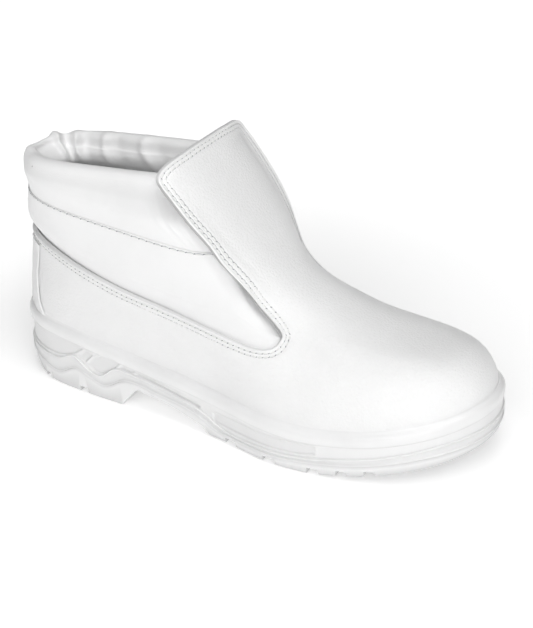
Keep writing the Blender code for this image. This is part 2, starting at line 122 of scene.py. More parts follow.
# Lines of the upper's mesh run from the sole up to the free edge. Where they start, in turn from the heel:
# straight below the quarter's edge, then spread over the vamp under the flap's near edge and its top.
LINES_STRAIGHT_TO = 1.9
TIP_FOOT = 2.24
TIP_BELOW = 6.5
CORNER_FOOT = 2.86
CORNER_LEVEL = 10.45
CORNER_BLEND = 8.0
LINE_BEND = 0.55
LINE_FINE = 300
LINE_CLOSING = 1.4

Station = namedtuple("Station", "x lateral medial")
SOLE_OUTLINE = listed(
    Station, (9.0, 22.7, 23.0), (27.0, 34.9, 34.0), (60.0, 40.9, 38.5), (102.0, 43.7, 36.0),
    (150.0, 48.6, 39.0), (195.0, 57.3, 47.0), (225.0, 55.5, 50.4), (255.0, 49.5, 48.7), (279.0, 37.2, 38.7),
    (294.0, 20.7, 22.6),
)

Level = namedtuple("Level", "x z")
# Top of the welt bead, where the upper comes out of the sole
WELT_LINE = listed(
    Level, (0, 41.0), (40, 40.5), (72, 37.3), (100, 34.1), (128, 31.6), (156, 28.9), (190, 27.5),
    (216, 27.0), (243, 29.9), (263, 33.6), (280, 37.5), (300, 43.0),
)
# Upper and lower edge of the raised rib that waves round the heel and runs on to the toe
RIB_TOP = listed(
    Level, (0, 18.5), (26, 19.0), (40, 19.3), (52, 24.0), (61, 18.6), (70, 16.2), (83, 24.3), (93, 24.0),
    (121, 20.2), (142, 15.9), (157, 9.8), (185, 9.1), (210, 10.2), (233, 13.9), (264, 20.6), (281, 25.2),
    (300, 29.0),
)
RIB_FOOT = listed(
    Level, (0, 13.5), (24, 10.4), (38, 8.4), (53, 15.0), (64, 12.0), (72, 9.6), (89, 17.2), (114, 15.4),
    (138, 12.0), (158, 5.2), (185, 5.2), (210, 6.6), (238, 10.0), (264, 15.2), (281, 18.8), (300, 22.5),
)
# Underside: bevelled heel back, the plane that it stands on, and toe spring
TREAD_LINE = listed(
    Level, (0, 9.0), (8, 6.3), (18, 2.6), (30, 0.0), (120, 0.0), (210, 0.0), (227, 1.6), (241, 4.0),
    (263, 8.4), (281, 12.6), (300, 18.5),
)
# Hollow under the arch in side view
ARCH = listed(
    Level, (83.0, -1.0), (85.5, 1.0), (95.5, 12.6), (98.5, 13.8), (120, 11.2), (143.5, 4.8), (149.5, -1.0),
)
LINES = {"welt": WELT_LINE, "rib_top": RIB_TOP, "rib_foot": RIB_FOOT, "tread": TREAD_LINE}

# Rows of the sole's side: height above a named line, and inset from the outline.
# The rib has a thin raised line along each of its edges.
SideStep = namedtuple("SideStep", "line above inset")


def side_steps(line, *steps):
    """Rows of the sole's side that follow one line."""
    return [SideStep(line, *step) for step in steps]


RIB_SIDE = side_steps(
    "rib_foot", (0.1, 1.0), (0.25, 0.5), (0.5, 0.05), (0.95, 0.05), (1.25, 0.5), (1.6, 0.85),
) + side_steps(
    "rib_top", (-1.6, 0.85), (-1.25, 0.5), (-0.95, 0.05), (-0.5, 0.05), (-0.2, 0.6), (0.0, 1.0),
)
BEAD_SIDE = side_steps(
    "welt", (-5.4, 0.1), (-4.6, 0.0), (-3.8, 0.0), (-2.9, 0.13), (-2.1, 0.45), (-1.4, 0.92), (-0.8, 1.55),
    (-0.4, 2.1), (-0.1, 2.6), (0.25, 3.0), (0.8, 3.35), (1.6, 3.6), (1.2, 3.9), (-1.5, 3.9),
)
TREAD_SIDE = side_steps(
    "tread", (0.0, 2.2), (0.5, 1.6), (1.2, 1.3),
) + side_steps(
    "rib_foot", (-2.2, 1.1), (-0.15, 1.0),
)
# How the wall runs out into the bead: height under the welt line, and inset
Swell = namedtuple("Swell", "under inset")
BEAD_FOOT = -6.2
WALL_TOP = listed(
    Swell, (-14.0, 1.0), (-8.2, 1.0), (-7.7, 0.95), (-7.2, 0.65), (-6.8, 0.35), (BEAD_FOOT, 0.2),
    (-5.4, 0.1),
)
# Greyer lines of the sole's side, painted shade under the bead and along the rib's edges: height from a named
# line, width and strength
ShadeLine = namedtuple("ShadeLine", "line above width strength")
SHADE_LINES = listed(
    ShadeLine, ("welt", -7.3, 0.5, 0.30), ("rib_top", 0.2, 0.4, 0.28), ("rib_top", -1.5, 0.35, 0.22),
    ("rib_foot", 1.4, 0.35, 0.22), ("rib_foot", -0.1, 0.4, 0.34),
)
# Painted shade: strength on the wall under the bead, on the tread towards the ground and in the shallow
# panels, and the heights over which the tread's and the wall's fade
WALL_SHADE = 0.06
TREAD_SHADE = 0.65
TREAD_SHADE_TO = 3.5
PANEL_SHADE = 0.12
WALL_SHADE_OVER = 2.0

# Slope into a shallow panel of the sole's side: where it starts and how wide it is. Then the raised rim round
# it: how far out, how wide, and its height as a share of the panel's depth.
PANEL_START = 0.1
PANEL_SLOPE = 0.6
RIM_OUT = -0.55
RIM_WIDTH = 0.4
RIM_HEIGHT = 0.6
# Shallow panels on the sole's side, as outlines in side view. The first goes on round the heel.
SOLE_PANELS = [
    [(-9, 31.9), (20, 32.2), (42, 32.2), (48, 31.7), (58.8, 30.3), (51.6, 24.9), (46, 22.9), (40, 21.0),
     (26, 20.5), (-9, 20.0)],
    [(61.0, 30.0), (66.2, 28.2), (60.0, 21.9), (54.0, 24.4)],
    [(61.6, 21.3), (66.8, 26.4), (72, 29.6), (79, 29.3), (85.6, 28.0), (82.6, 24.6), (77.5, 20.6), (71, 17.6),
     (65.4, 18.6)],
    [(88.0, 27.8), (97.2, 26.3), (94.2, 24.0), (85.4, 25.2)],
    [(99.4, 26.0), (116, 22.8), (131.5, 20.3), (141.8, 18.7), (143, 17.4), (141, 16.6), (126, 18.2),
     (111, 21.6), (97.4, 24.3)],
    [(151.5, 17.1), (168, 17.2), (186, 17.2), (199, 17.5), (211, 18.0), (219.4, 18.6), (219.4, 13.4),
     (211, 11.9), (199, 11.2), (185.5, 10.8), (168, 10.7), (152, 11.2)],
]

# Rings of the last. outer and inner are half widths; lean moves the width to the toe, full squares the ends,
# blunt flattens the front, follow is how much the ring takes from the sole's outline, drawn in by inset, and
# from the welt line plus rise, and taper slims the front half between its middle and its tip.
Ring = namedtuple("Ring", "back_x back_z front_x front_z outer inner lean full blunt follow rise inset taper",
                  defaults=(0.0, 30.0, 3.4, 0.0))
RINGS = listed(
    Ring,
    (5.0, 30.0, 294.5, 32.0, 53.0, 47.0, -0.14, 0.06, 0.00, 1.00, -WELT_DEPTH, 5.2, 0.00),
    (3.6, 41.0, 296.4, 43.0, 52.0, 46.0, -0.14, 0.06, 0.00, 1.00, 0.0, 3.6, 0.00),
    (3.6, 52.0, 293.5, 52.5, 50.0, 44.0, -0.14, 0.06, 0.00, 0.80, 10.0, 3.4, 0.02),
    (4.0, 62.0, 288.0, 61.0, 48.0, 40.0, -0.11, 0.06, 0.00, 0.46, 20.0, 3.4, 0.08),
    (4.5, 71.0, 274.0, 64.8, 45.0, 36.0, -0.02, 0.02, 0.00, 0.12, 30.0, 3.4, 0.17),
    (5.5, 80.0, 251.0, 66.6, 42.0, 35.0, 0.02, 0.01, 0.00),
    (6.5, 90.0, 226.0, 72.0, 40.5, 36.0, 0.01, 0.03, 0.00),
    (7.0, 100.0, 201.0, 80.6, 41.0, 37.0, 0.00, 0.05, 0.05),
    (9.0, 109.0, 182.5, 91.0, 42.5, 36.5, -0.02, 0.07, 0.15),
    (12.0, 118.0, 168.5, 109.0, 44.5, 41.0, -0.06, 0.11, 0.30),
    (9.0, 131.0, 146.5, 138.0, 46.0, 39.5, -0.12, 0.12, 0.30),
)
# The flap leaves the rings at the instep and stands wider, outside the padded collar
FLAP_START = 8
FLAP_RINGS = listed(
    Ring,
    (9.0, 109.0, 183.5, 91.0, 43.0, 35.5, -0.04, 0.08, 0.20),
    (12.0, 118.0, 169.5, 109.0, 50.0, 42.5, -0.10, 0.09, 0.38),
    (9.0, 131.0, 147.5, 138.0, 53.0, 45.0, -0.14, 0.07, 0.42),
    (8.0, 145.0, 126.5, 162.5, 50.0, 43.0, -0.14, 0.06, 0.48),
    (8.0, 151.0, 118.5, 171.5, 48.0, 41.0, -0.14, 0.06, 0.48),
)
UPPER_RINGS = RINGS[:FLAP_START] + FLAP_RINGS
SOFTEN = 0.6
SOFTEN_FROM = 1.2
SEAM_RING = 9.0
GUSSET_FOOT = 6.6
GUSSET_TOP = 9.9
GUSSET_NARROWS = 8.7
GUSSET_REACH = 0.5
GUSSET_TAPER = 0.6
GUSSET_UNDER = 1.0

# Ridge of the rolled collar, as one more ring
RIM = Ring(13.2, 137.0, 143.5, 146.0, 29.3, 27.3, 0.00, 0.11, 0.00)

# Side view of the upper's free edge: heel, quarter, turn under the flap, flap edge, corner and flap top
EDGE = listed(
    Level, (-10, 90.0), (12, 88.8), (30, 86.6), (60, 80.8), (89, 75.9), (117, 72.5), (144, 68.6),
    (166, 65.2), (179, 63.9), (187.6, 65.0), (190.2, 68.4), (185.0, 72.4), (172.6, 81.2), (165.2, 91.2),
    (159.2, 102.6), (152.4, 114.2), (142.2, 127.0), (132.3, 139.2), (126.2, 146.4), (122.9, 151.6),
    (123.2, 156.8), (125.8, 160.5), (130, 162.9), (150, 166.0),
)
EDGE_FINE = 12
EDGE_TIP = 10

# Edge of the upper: distance from the edge, and how far the surface stands proud.
# A bevelled raw edge, a rounded fold, a groove, and the trough that the two rows of stitches pull down.
Fold = namedtuple("Fold", "away height")
FOLD = listed(
    Fold, (0.0, -1.7), (0.35, -1.3), (0.7, -0.8), (1.05, -0.25), (1.3, 0.12), (1.6, 0.34), (1.95, 0.3),
    (2.3, 0.0), (2.7, -0.34), (3.2, -0.38), (3.9, -0.16), (4.6, -0.24), (5.3, -0.32), (6.2, -0.12),
    (7.6, 0.03), (10.0, 0.0),
)
# Width of the raw edge over its bevel, and how grey it is, partly its own colour and partly painted shade of
# its
# underside: on the quarter and the flap's top, and more on the flap's sides. The flap begins above a slanting
# line in side view: its height at the toe end, where that end is, and its slope.
RAW_WIDTH = 1.9
RAW_FADE = 0.3
RAW_SHADE = 0.25
FLAP_SHADE = 0.8
FLAP_LINE = (64.0, 190.0, 0.45)
FLAP_CORNER = 152.0
FLAP_FADE = 6.0
# The flap's edge curls away from the collar: how far, over what distance, and from which ring
CURL = 2.5
CURL_REACH = 11.0
CURL_FROM = 5.0
CURL_FULL = 8.5
CURL_FADES = 9.5
CURL_END = 11.0
# Its inner edge is turned up behind a shallow dip: by the distance from the edge, and how soon past the ridge
FAR_EDGE = listed(
    Fold, (0.0, 3.6), (3.0, 1.6), (5.5, -0.6), (7.5, -2.2), (10.0, -2.8), (15.0, -2.4), (22.0, -1.1),
    (30.0, 0.0),
)
FAR_FADES = 0.9
FAR_END = 11.6
FAR_OVER = 1.4
STITCH_ROWS = (3.0, 5.2)
NEAR_ROWS = (3.6, 4.2, 5.8, 6.8, 8.6, 11.2, 12.5, 14.0, 15.6, 17.4, 19.5)
STITCH_STEPS = 6
STITCH_AIM = 0.5
# How deep a thread lies in, as a share of its thickness, and the sizes of a needle hole
THREAD_SINK = 0.1
HOLE_LENGTH = 1.7
HOLE_WIDTH = 0.8
HOLE_HEIGHT = 0.3
HOLE_SINK = 0.06
HOLE_SLANT = 0.6
# Dent round a stitch, grey with painted shadow: how far past the thread, and how deep
DENT_RIM = 0.7
DENT_SINK = 0.08

# Section of the collar from its seam: rise in rings and share of the padding, how full its face is and how
# much flatter over the heel, and how far the lining bulges in
Padding = namedtuple("Padding", "rise share")
COLLAR_FOOT = listed(Padding, (0.0, 0.78), (0.1, 0.82), (0.28, 0.92), (0.55, 1.1))
COLLAR_BULGE = 2.0
HEEL_FLAT = 1.9
HEEL_FLAT_WIDTH = 0.7
INNER_BULGE = 6.5
# The roll is thinner over the heel: by what share, and over what angle. Then its turns, the rows of its
# inside, where the lining begins, and the turn at which the folds set in.
HEEL_THIN = 0.6
HEEL_WIDTH = 0.42
ROLL_TURNS = [0.35, 0.75, 1.15, 1.55, 2.0, 2.5, np.pi]
INNER_SHARES = [0.85, 0.65, 0.4, 0.18, 0.0]
LINING_FROM = 0.66
FOLDS_FROM = 1.2
FOLDS_OVER = 1.2

# Folds of the collar's inside by the heel, by angle: where, how wide, how far in,
# and how far up and out at the ridge
Pleat = namedtuple("Pleat", "angle width push lift out")
PLEATS = listed(
    Pleat, (-0.26, 0.13, 0.0, 0.8, 1.8), (0.30, 0.08, 3.2, 2.2, 1.2), (0.45, 0.09, -2.4, -0.6, 0.0),
    (0.62, 0.07, 2.6, 0.9, 0.0), (0.78, 0.09, -1.6, 0.0, 0.0), (-0.48, 0.12, 1.2, -0.5, 0.0),
    (1.02, 0.05, 1.5, 0.3, 0.0), (1.18, 0.07, -1.0, 0.0, 0.0), (1.46, 0.05, 1.3, 0.2, 0.0),
    (1.62, 0.08, -0.9, 0.0, 0.0),
)
# Puckers of the collar's face where the flap presses it
PUCKER_AT = -2.16
PUCKER_WIDTH = 0.16
PUCKER_STEP = 0.115
PUCKER_DEPTH = 0.4
PUCKER_HEIGHT = 0.16

# Lower edge of the padded panel, hidden inside the quarter
Foot = namedtuple("Foot", "angle ring")
PANEL_FOOT = listed(
    Foot, (0.0, 5.0), (0.6, 5.0), (1.0, 4.6), (1.3, 4.0), (1.55, 3.5), (1.8, 3.2), (1.95, 3.5), (2.2, 4.9),
    (2.4, 5.9), (2.7, 6.8),
)
# Soft ridges of the panel along the quarter's edge: distance from it, width and height, and where they are
Ridge = namedtuple("Ridge", "away width height")
PANEL_RIDGES = listed(Ridge, (4.6, 1.3, 0.3), (9.0, 1.8, 0.28))
RIDGES_AT = 1.75
RIDGES_WIDTH = 0.5

# Half width of the backstay by ring, and its section: share of the half width, and height
Reach = namedtuple("Reach", "ring angle")
BACKSTAY = listed(Reach, (1.0, 0.60), (2.0, 0.51), (3.0, 0.48), (4.0, 0.49), (5.6, 0.54))
BACKSTAY_FOOT = 1.05
BACKSTAY_TOP = 5.25
Strip = namedtuple("Strip", "share height")
BACKSTAY_SECTION = listed(
    Strip, (0.0, 0.7), (0.5, 0.7), (0.80, 0.7), (0.84, 0.6), (0.87, 0.78), (0.90, 0.8), (0.925, 0.6),
    (0.95, 0.8), (0.98, 0.7), (1.0, 0.2),
)

# Grooves across the tread: place at the outer side, width, and how far the inner end is turned forward
Groove = namedtuple("Groove", "x width turn")
GROOVES = listed(
    Groove, (28.0, 5.0, 0.0), (57.0, 6.0, 0.0), (168.0, 8.0, 0.10), (193.5, 8.5, 0.06), (217.0, 7.0, 0.0),
    (231.0, 6.0, -0.04), (244.5, 6.0, -0.08),
)

# Tread: rounding of its edges in millimetres, and angles above which an edge is rounded and shaded sharp
TREAD_ROUND = 0.4
TREAD_CORNER = 0.7
TREAD_SHARP = 0.6
SHARP = 1.0
# Side of the insole: share of its thickness, and inset
INSOLE_SIDE = [(0.0, 0.6), (0.4, 0.0), (0.9, 0.0), (1.0, 0.6)]

# Camera of the photograph, fitted to the sole: place in metres, turns in radians, sensor and focal length
CAMERA_PLACE = (0.385877, -0.634605, 0.455568)
CAMERA_AZIMUTH = 0.532184
CAMERA_ELEVATION = 0.493309
CAMERA_ROLL = -0.038606
CAMERA_SENSOR = 36.0
CAMERA_LENS = 1500.0 / 628.0 * CAMERA_SENSOR

# Studio lamps: place, size in metres and power in watts. All look at the middle of the boot.
Lamp = namedtuple("Lamp", "name place size power")
LAMPS = listed(
    Lamp,
    ("front_softbox", (0.0, -1.685, 1.464), 1.3, 10.0),
    ("camera_softbox", (0.953, -1.65, 0.85), 1.3, 11.5),
    ("toe_softbox", (1.088, -0.628, 1.854), 1.3, 15.8),
    ("top_softbox", (0.0, -0.04, 2.25), 1.3, 13.5),
    ("back_softbox", (-0.403, 1.503, 1.606), 1.3, 2.5),
)
LAMP_AIM = Vector((0.0, 0.0, 0.06))
WORLD_STRENGTH = 0.02
FLOOR_SIZE = 12.0
# The floor glows faintly under the boot and more with distance, as a lit backdrop does: metres and strength
Glow = namedtuple("Glow", "distance strength")
FLOOR_GLOW = listed(Glow, (0.08, 0.24), (0.50, 0.62))

# Sizes of the materials' patterns in metres: clouding and specks of the microfibre, skin and flow marks of
# the sole. The sole's real skin is finer than a pixel, so it is drawn about twice as coarse.
CLOUD = 0.036
SPECK_CELL = 0.029
SPECK = 0.00047
SKIN = 0.0011
SKIN_DEPTH = 0.00006
FLOW = 0.022
# Bends of the microfibre's pebbles and the finer grain on them, in sizes of a pebble. Then the scale of a
# wave pattern with ribs 1 m apart, and that of a knit's rows, which lie closer than its ribs.
PEBBLE_BEND = 2.5
PEBBLE_FINE = 1 / 2.4
RIB_WAVE = 0.314
ROW_WAVE = 0.45


def linear(code):
    """Linear colour of an sRGB hex code."""
    value = np.array([int(code[i:i + 2], 16) for i in (0, 2, 4)]) / 255.0
    return tuple(np.where(value <= 0.04045, value / 12.92, ((value + 0.055) / 1.055) ** 2.4))


def smooth_values(knots, values, at):
    """Cubic curve through values at knots. Slopes come from the neighbours, and flat stretches stay flat."""
    at = np.clip(np.asarray(at, float), knots[0], knots[-1])
    span = np.diff(knots)
    rise = np.diff(values) / span
    slope = np.empty_like(values)
    mean = (rise[:-1] * span[1:] + rise[1:] * span[:-1]) / (span[1:] + span[:-1])
    slope[1:-1] = np.where((rise[:-1] == 0) | (rise[1:] == 0), 0.0, mean)
    slope[0] = 1.5 * rise[0] - 0.5 * slope[1]
    slope[-1] = 1.5 * rise[-1] - 0.5 * slope[-2]
    cell = np.clip(np.searchsorted(knots, at, side="right") - 1, 0, len(knots) - 2)
    t = (at - knots[cell]) / span[cell]
    left = values[cell] * (1 + 2 * t) * (1 - t) ** 2 + span[cell] * slope[cell] * t * (1 - t) ** 2
    right = values[cell + 1] * t * t * (3 - 2 * t) + span[cell] * slope[cell + 1] * t * t * (t - 1)
    return left + right


def smooth(table, at):
    """Smooth curve through the last column of a table, read along its first."""
    knots, values = [np.array([row[i] for row in table], float) for i in (0, -1)]
    return smooth_values(knots, values, at)


def ease(t):
    """Soft step from 0 to 1."""
    t = np.clip(t, 0.0, 1.0)
    return t * t * (3 - 2 * t)


def bump(at, middle, width):
    """Soft hump of height 1."""
    return np.exp(-((at - middle) / width) ** 2)


def outline_half(angle, column):
    """Half width of the sole at an angle from the heel (0) round to the toe (pi)."""
    stations = np.array([row.x for row in SOLE_OUTLINE])
    widths = np.array([getattr(row, column) for row in SOLE_OUTLINE])
    knots = np.concatenate([[0.0], np.arccos(1 - 2 * stations / LENGTH), [np.pi]])
    return smooth_values(knots, np.concatenate([[0.0], widths, [0.0]]), angle)


SWEEP = np.linspace(0.0, np.pi, 721)
CENTRE_Y = (outline_half(SWEEP, "medial").max() - outline_half(SWEEP, "lateral").max()) / 2


def to_frame(points):
    """Millimetres from the heel to metres about the origin."""
    return (np.asarray(points) - np.array([LENGTH / 2, CENTRE_Y, 0.0])) * MM


def loop_angles(steps):
    """Angles once round a ring and back to its start, the outer side first and negative."""
    half = np.linspace(0.0, np.pi, steps + 1)
    return np.concatenate([-half, half[-2::-1]])


def sole_ring(angle, inset, z):
    """Ring on the sole's outline, drawn in by inset, at heights z."""
    turn = np.abs(angle)
    side = np.where(angle < 0, outline_half(turn, "lateral"), outline_half(turn, "medial"))
    half = np.where((turn == 0) | (turn == np.pi), 0.0, side - inset * np.sin(turn))
    x = LENGTH / 2 - (LENGTH / 2 - inset) * np.cos(turn)
    return np.stack([x, np.where(angle < 0, -half, half), z], axis=-1)


def side_ring(angle, step):
    """Ring of the sole's side for one row of a side table."""
    x = LENGTH / 2 - (LENGTH / 2 - step.inset) * np.cos(angle)
    return sole_ring(angle, step.inset, smooth(LINES[step.line], x) + step.above)


def closed(rings):
    """Stack of rings, closed at both ends by the end ring drawn together on the boot's middle line."""
    first, last = [ring * np.array([1.0, 0.0, 1.0]) for ring in (rings[0], rings[-1])]
    return np.array([first, *rings, last])


def ring_columns(level, rows):
    """Ring with every column read at the given levels."""
    count = np.arange(len(rows), dtype=float)
    return Ring(*[smooth_values(count, np.array([getattr(r, c) for r in rows]), level) for c in Ring._fields])


def side_view(row, t):
    """Side view of a ring at a share t of its length."""
    blunt = t + row.blunt * t * t * (1 - t)
    x = row.back_x + (row.front_x - row.back_x) * blunt
    flat = row.back_z + (row.front_z - row.back_z) * blunt
    return x, row.follow * (smooth(WELT_LINE, x) + row.rise) + (1 - row.follow) * flat


def last_ring(row, angle):
    """Points of one ring of the last at the given angles, negative on the outer side."""
    turn = np.abs(angle)
    x, z = side_view(row, (1 - np.cos(turn)) / 2)
    wide = np.where(angle < 0, row.outer, row.inner)
    egg = wide * (np.sin(turn) + row.lean * np.sin(2 * turn) + row.full * np.sin(3 * turn))
    sole = np.where(angle < 0, outline_half(turn, "lateral"), outline_half(turn, "medial"))
    half = row.follow * (sole - row.inset * np.sin(turn)) + (1 - row.follow) * egg
    half = half * (1 - row.taper * np.where(turn > np.pi / 2, np.sin(2 * turn), 0.0) ** 2)
    return np.stack([x, np.where(angle < 0, -half, half), z], axis=-1)


def last_surface(level, angle, rows):
    """Surface of the last. level counts the rings, with smooth steps between them."""
    level, angle = np.broadcast_arrays(np.asarray(level, float), np.asarray(angle, float))
    return last_ring(ring_columns(level, rows), angle)


def soft_surface(level, angle):
    """Surface of the upper, with the steps between its rings softened above the welt."""
    reach = SOFTEN * ease(level / SOFTEN_FROM - 1)
    above, below = [last_surface(level + sign * reach, angle, UPPER_RINGS) for sign in (1, -1)]
    return (above + below) / 4 + last_surface(level, angle, UPPER_RINGS) / 2


def unit(vectors):
    """Vectors of length 1."""
    return vectors / np.linalg.norm(vectors, axis=-1, keepdims=True)


def last_normal(level, angle, rows):
    """Unit normal of the last's surface, pointing out."""
    up = last_surface(level + SMALL, angle, rows) - last_surface(level - SMALL, angle, rows)
    after = np.where(angle + SMALL > np.pi, angle + SMALL - 2 * np.pi, angle + SMALL)
    before = np.where(angle - SMALL < -np.pi, angle - SMALL + 2 * np.pi, angle - SMALL)
    along = last_surface(level, after, rows) - last_surface(level, before, rows)
    return unit(np.cross(up, along))


def offset(level, angle, depth):
    """Point at a depth outside (positive) or inside (negative) the last's surface."""
    level, angle, depth = np.broadcast_arrays(np.asarray(level, float), angle, depth)
    return last_surface(level, angle, RINGS) + last_normal(level, angle, RINGS) * depth[..., None]


def edge_curve():
    """Smooth side-view curve of the upper's free edge."""
    knots = np.arange(len(EDGE), dtype=float)
    at = np.linspace(0, len(EDGE) - 1, (len(EDGE) - 1) * EDGE_FINE + 1)
    columns = [smooth_values(knots, np.array([getattr(row, c) for row in EDGE], float), at) for c in "xz"]
    return np.stack(columns, axis=-1)


def distance(points, path):
    """Distance of side-view points from a path."""
    nearest = np.full(points.shape[:-1], np.inf)
    for start, end in zip(path[:-1], path[1:]):
        run = end - start
        share = np.clip(((points - start) @ run) / (run @ run), 0, 1)
        nearest = np.minimum(nearest, np.linalg.norm(points - start - share[..., None] * run, axis=-1))
    return nearest


def inside_outline(points, loop):
    """Distance of side-view points from a closed outline, positive inside it."""
    loop = np.array([*loop, loop[0]], float)
    nearest = distance(points, loop)
    inside = np.zeros(points.shape[:-1], bool)
    for start, end in zip(loop[:-1], loop[1:]):
        run = end - start
        crosses = (start[1] > points[..., 1]) != (end[1] > points[..., 1])
        reach = start[0] + (points[..., 1] - start[1]) / np.where(run[1] == 0, 1e-9, run[1]) * run[0]
        inside ^= crosses & (points[..., 0] < reach)
    return np.where(inside, nearest, -nearest)


def clear_of_edge(points):
    """How far, in side view, points lie inside the opening that the upper's free edge leaves."""
    curve = edge_curve()
    behind = curve[0, 0] - CUTTER_REACH
    sky = np.array([[curve[-1, 0], SKY], [behind, SKY], [behind, curve[0, 1]]])
    return np.maximum(inside_outline(points[..., [0, 2]], np.concatenate([curve, sky])), 0.0)


def free_edge():
    """Level and turn along the upper's free edge, from the heel's middle to the flap's top, evenly spaced."""
    target = edge_curve()
    levels, shares = np.meshgrid(EDGE_LEVELS, EDGE_SHARES, indexing="ij")
    x, z = side_view(ring_columns(levels.ravel(), UPPER_RINGS), shares.ravel())
    first = np.argmin((x - target[:, :1]) ** 2 + (z - target[:, 1:]) ** 2, axis=1)
    level, share = levels.ravel()[first], shares.ravel()[first]

    def miss(level, share):
        x, z = side_view(ring_columns(level, UPPER_RINGS), share)
        return np.stack([x - target[:, 0], z - target[:, 1]], axis=-1)

    for _ in range(EDGE_ROUNDS):
        error = miss(level, share)
        beyond = [miss(level + SMALL, share), miss(level, share + SMALL)]
        slopes = np.stack([there - error for there in beyond], axis=-1) / SMALL
        move = np.linalg.solve(slopes, error[..., None])[..., 0]
        level = level - np.clip(move[:, 0], -LEVEL_LIMIT, LEVEL_LIMIT)
        share = share - np.clip(move[:, 1], -SHARE_LIMIT, SHARE_LIMIT)
    # The curve starts behind the heel and ends past the flap's ridge: keep what lies between
    inside = np.flatnonzero((share > 0) & (share < 1))
    low, high = inside[0], inside[-1]
    at = np.concatenate([[np.interp(0.0, share[low - 1:low + 1], [low - 1, low])], np.arange(low, high + 1),
                         [np.interp(1.0, share[high:high + 2], [high, high + 1])]])
    count = np.arange(len(share))
    level, share = np.interp(at, count, level), np.clip(np.interp(at, count, share), 0.0, 1.0)
    turn = np.arccos(1 - 2 * share)
    run = path_length(last_surface(level, -turn, UPPER_RINGS))
    even = np.linspace(0.0, run[-1], EDGE_STEPS + 1)
    return np.interp(even, run, level), np.interp(even, run, turn)


def path_length(points):
    """Length along a path, from 0 at its start."""
    return np.concatenate([[0.0], np.cumsum(np.linalg.norm(np.diff(points, axis=0), axis=-1))])


def upper_lines():
    """Level and turn of the upper's mesh lines, one row per line, from the sole to the free edge."""
    edge_level, edge_turn = free_edge()
    count = np.arange(EDGE_STEPS + 1)
    tip = np.argmax(np.where(edge_level < TIP_BELOW, edge_turn, 0.0))
    corner = np.argmax(edge_level > CORNER_LEVEL)
    straight = np.argmax(edge_turn > LINES_STRAIGHT_TO)
    foot = np.interp(count, [straight, tip, corner, EDGE_STEPS],
                     [LINES_STRAIGHT_TO, TIP_FOOT, CORNER_FOOT, np.pi])
    foot[:straight] = edge_turn[:straight]
    up = 1 - (1 - np.linspace(0.0, 1.0, LINE_FINE)) ** LINE_CLOSING
    level = edge_level[:, None] * up
    turn = foot[:, None] + (edge_turn - foot)[:, None] * up
    # In front of the tip, a line keeps a share of the way from the flap's edge to its ridge
    beside = np.interp(level, edge_level[tip:corner + 1], edge_turn[tip:corner + 1])
    lane = (foot - edge_turn[tip]) / (np.pi - edge_turn[tip])
    goal = np.clip((edge_turn - edge_turn[corner]) / (np.pi - edge_turn[corner]), 0.0, 1.0)
    goal[:corner] = 0.0
    bend = LINE_BEND + (1 - LINE_BEND) * ease((count - corner) / CORNER_BLEND)
    drawn = 1 - (1 - up[None, :]) ** bend[:, None]
    share = lane[:, None] + (goal - lane)[:, None] * drawn
    front = beside + share * (np.pi - beside)
    front[:, -1] = edge_turn
    return level, np.where(count[:, None] > tip, front, turn)


def upper_rows():
    """Level and turn at the upper's mesh rows: (rows, lines of one side)."""
    near = np.array(sorted({row.away for row in FOLD} | set(NEAR_ROWS)))
    levels, turns = [], []
    for level, turn in zip(*upper_lines()):
        run = path_length(last_surface(level, -turn, UPPER_RINGS))
        away = run[-1] - run
        far = np.linspace(near[-1], run[-1], UPPER_ROWS + 1)[1:]
        wanted = np.concatenate([near, far])[::-1]
        levels.append(np.interp(wanted, away[::-1], level[::-1]))
        turns.append(np.interp(wanted, away[::-1], turn[::-1]))
    return np.array(levels).T, np.array(turns).T


def wrap(angle):
    """Angle between -pi and pi."""
    return (angle + np.pi) % (2 * np.pi) - np.pi


def row_inside(level, angle, distance_in):
    """Level and angle of a row that keeps a distance from the free edge, over the surface."""
    level, angle = level[:-1], angle[:-1]
    for _ in range(STITCH_STEPS):
        at = last_surface(level, angle, UPPER_RINGS)
        ahead = unit(np.roll(at, -1, axis=0) - np.roll(at, 1, axis=0))
        inward = np.cross(ahead, last_normal(level, angle, UPPER_RINGS))
        above, below = [last_surface(level + step, angle, UPPER_RINGS) for step in (SMALL, -SMALL)]
        after, before = [last_surface(level, wrap(angle + step), UPPER_RINGS) for step in (SMALL, -SMALL)]
        slopes = np.stack([(above - below) / 2, (after - before) / 2], axis=-1) / SMALL
        square = np.einsum("nij,nik->njk", slopes, slopes)
        wanted = np.einsum("nij,ni->nj", slopes, inward) * distance_in / STITCH_STEPS
        move = np.linalg.solve(square, wanted[..., None])[..., 0]
        level, angle = level + move[:, 0], wrap(angle + move[:, 1])
    return np.append(level, level[0]), np.append(angle, angle[0])


def both_sides(half, sign=False):
    """Columns of one side, then of the other side back to the start, as signed angles if wanted."""
    return np.concatenate([-half if sign else half, half[:, -2::-1]], axis=1)


def swell(level, angle):
    """Padding of the panel and collar: 0 where the upper presses it, 1 well clear of the edge."""
    points = last_surface(level, angle, RINGS)
    beside = distance(points[..., [0, 2]], edge_curve()[EDGE_TIP * EDGE_FINE:])
    clear = clear_of_edge(points)
    return ease(clear / SWELL_REACH) ** 0.5 * ease((beside - FLAP_CREVICE) / FLAP_REACH) ** 0.5 * (clear > 0)


def tuck_depth(level, angle, fade):
    """Depth of the padded band's outer face: under the wall, swelling where nothing presses it."""
    clear = clear_of_edge(last_surface(level, angle, RINGS))
    front = ease((np.abs(angle) - FRONT_TUCK_FROM) / FRONT_TUCK_OVER)
    deeper = FRONT_TUCK * front * ease(1 - clear / FRONT_TUCK_CLEARS)
    return -(WALL + TUCK + deeper) + PANEL_SWELL * swell(level, angle) * fade


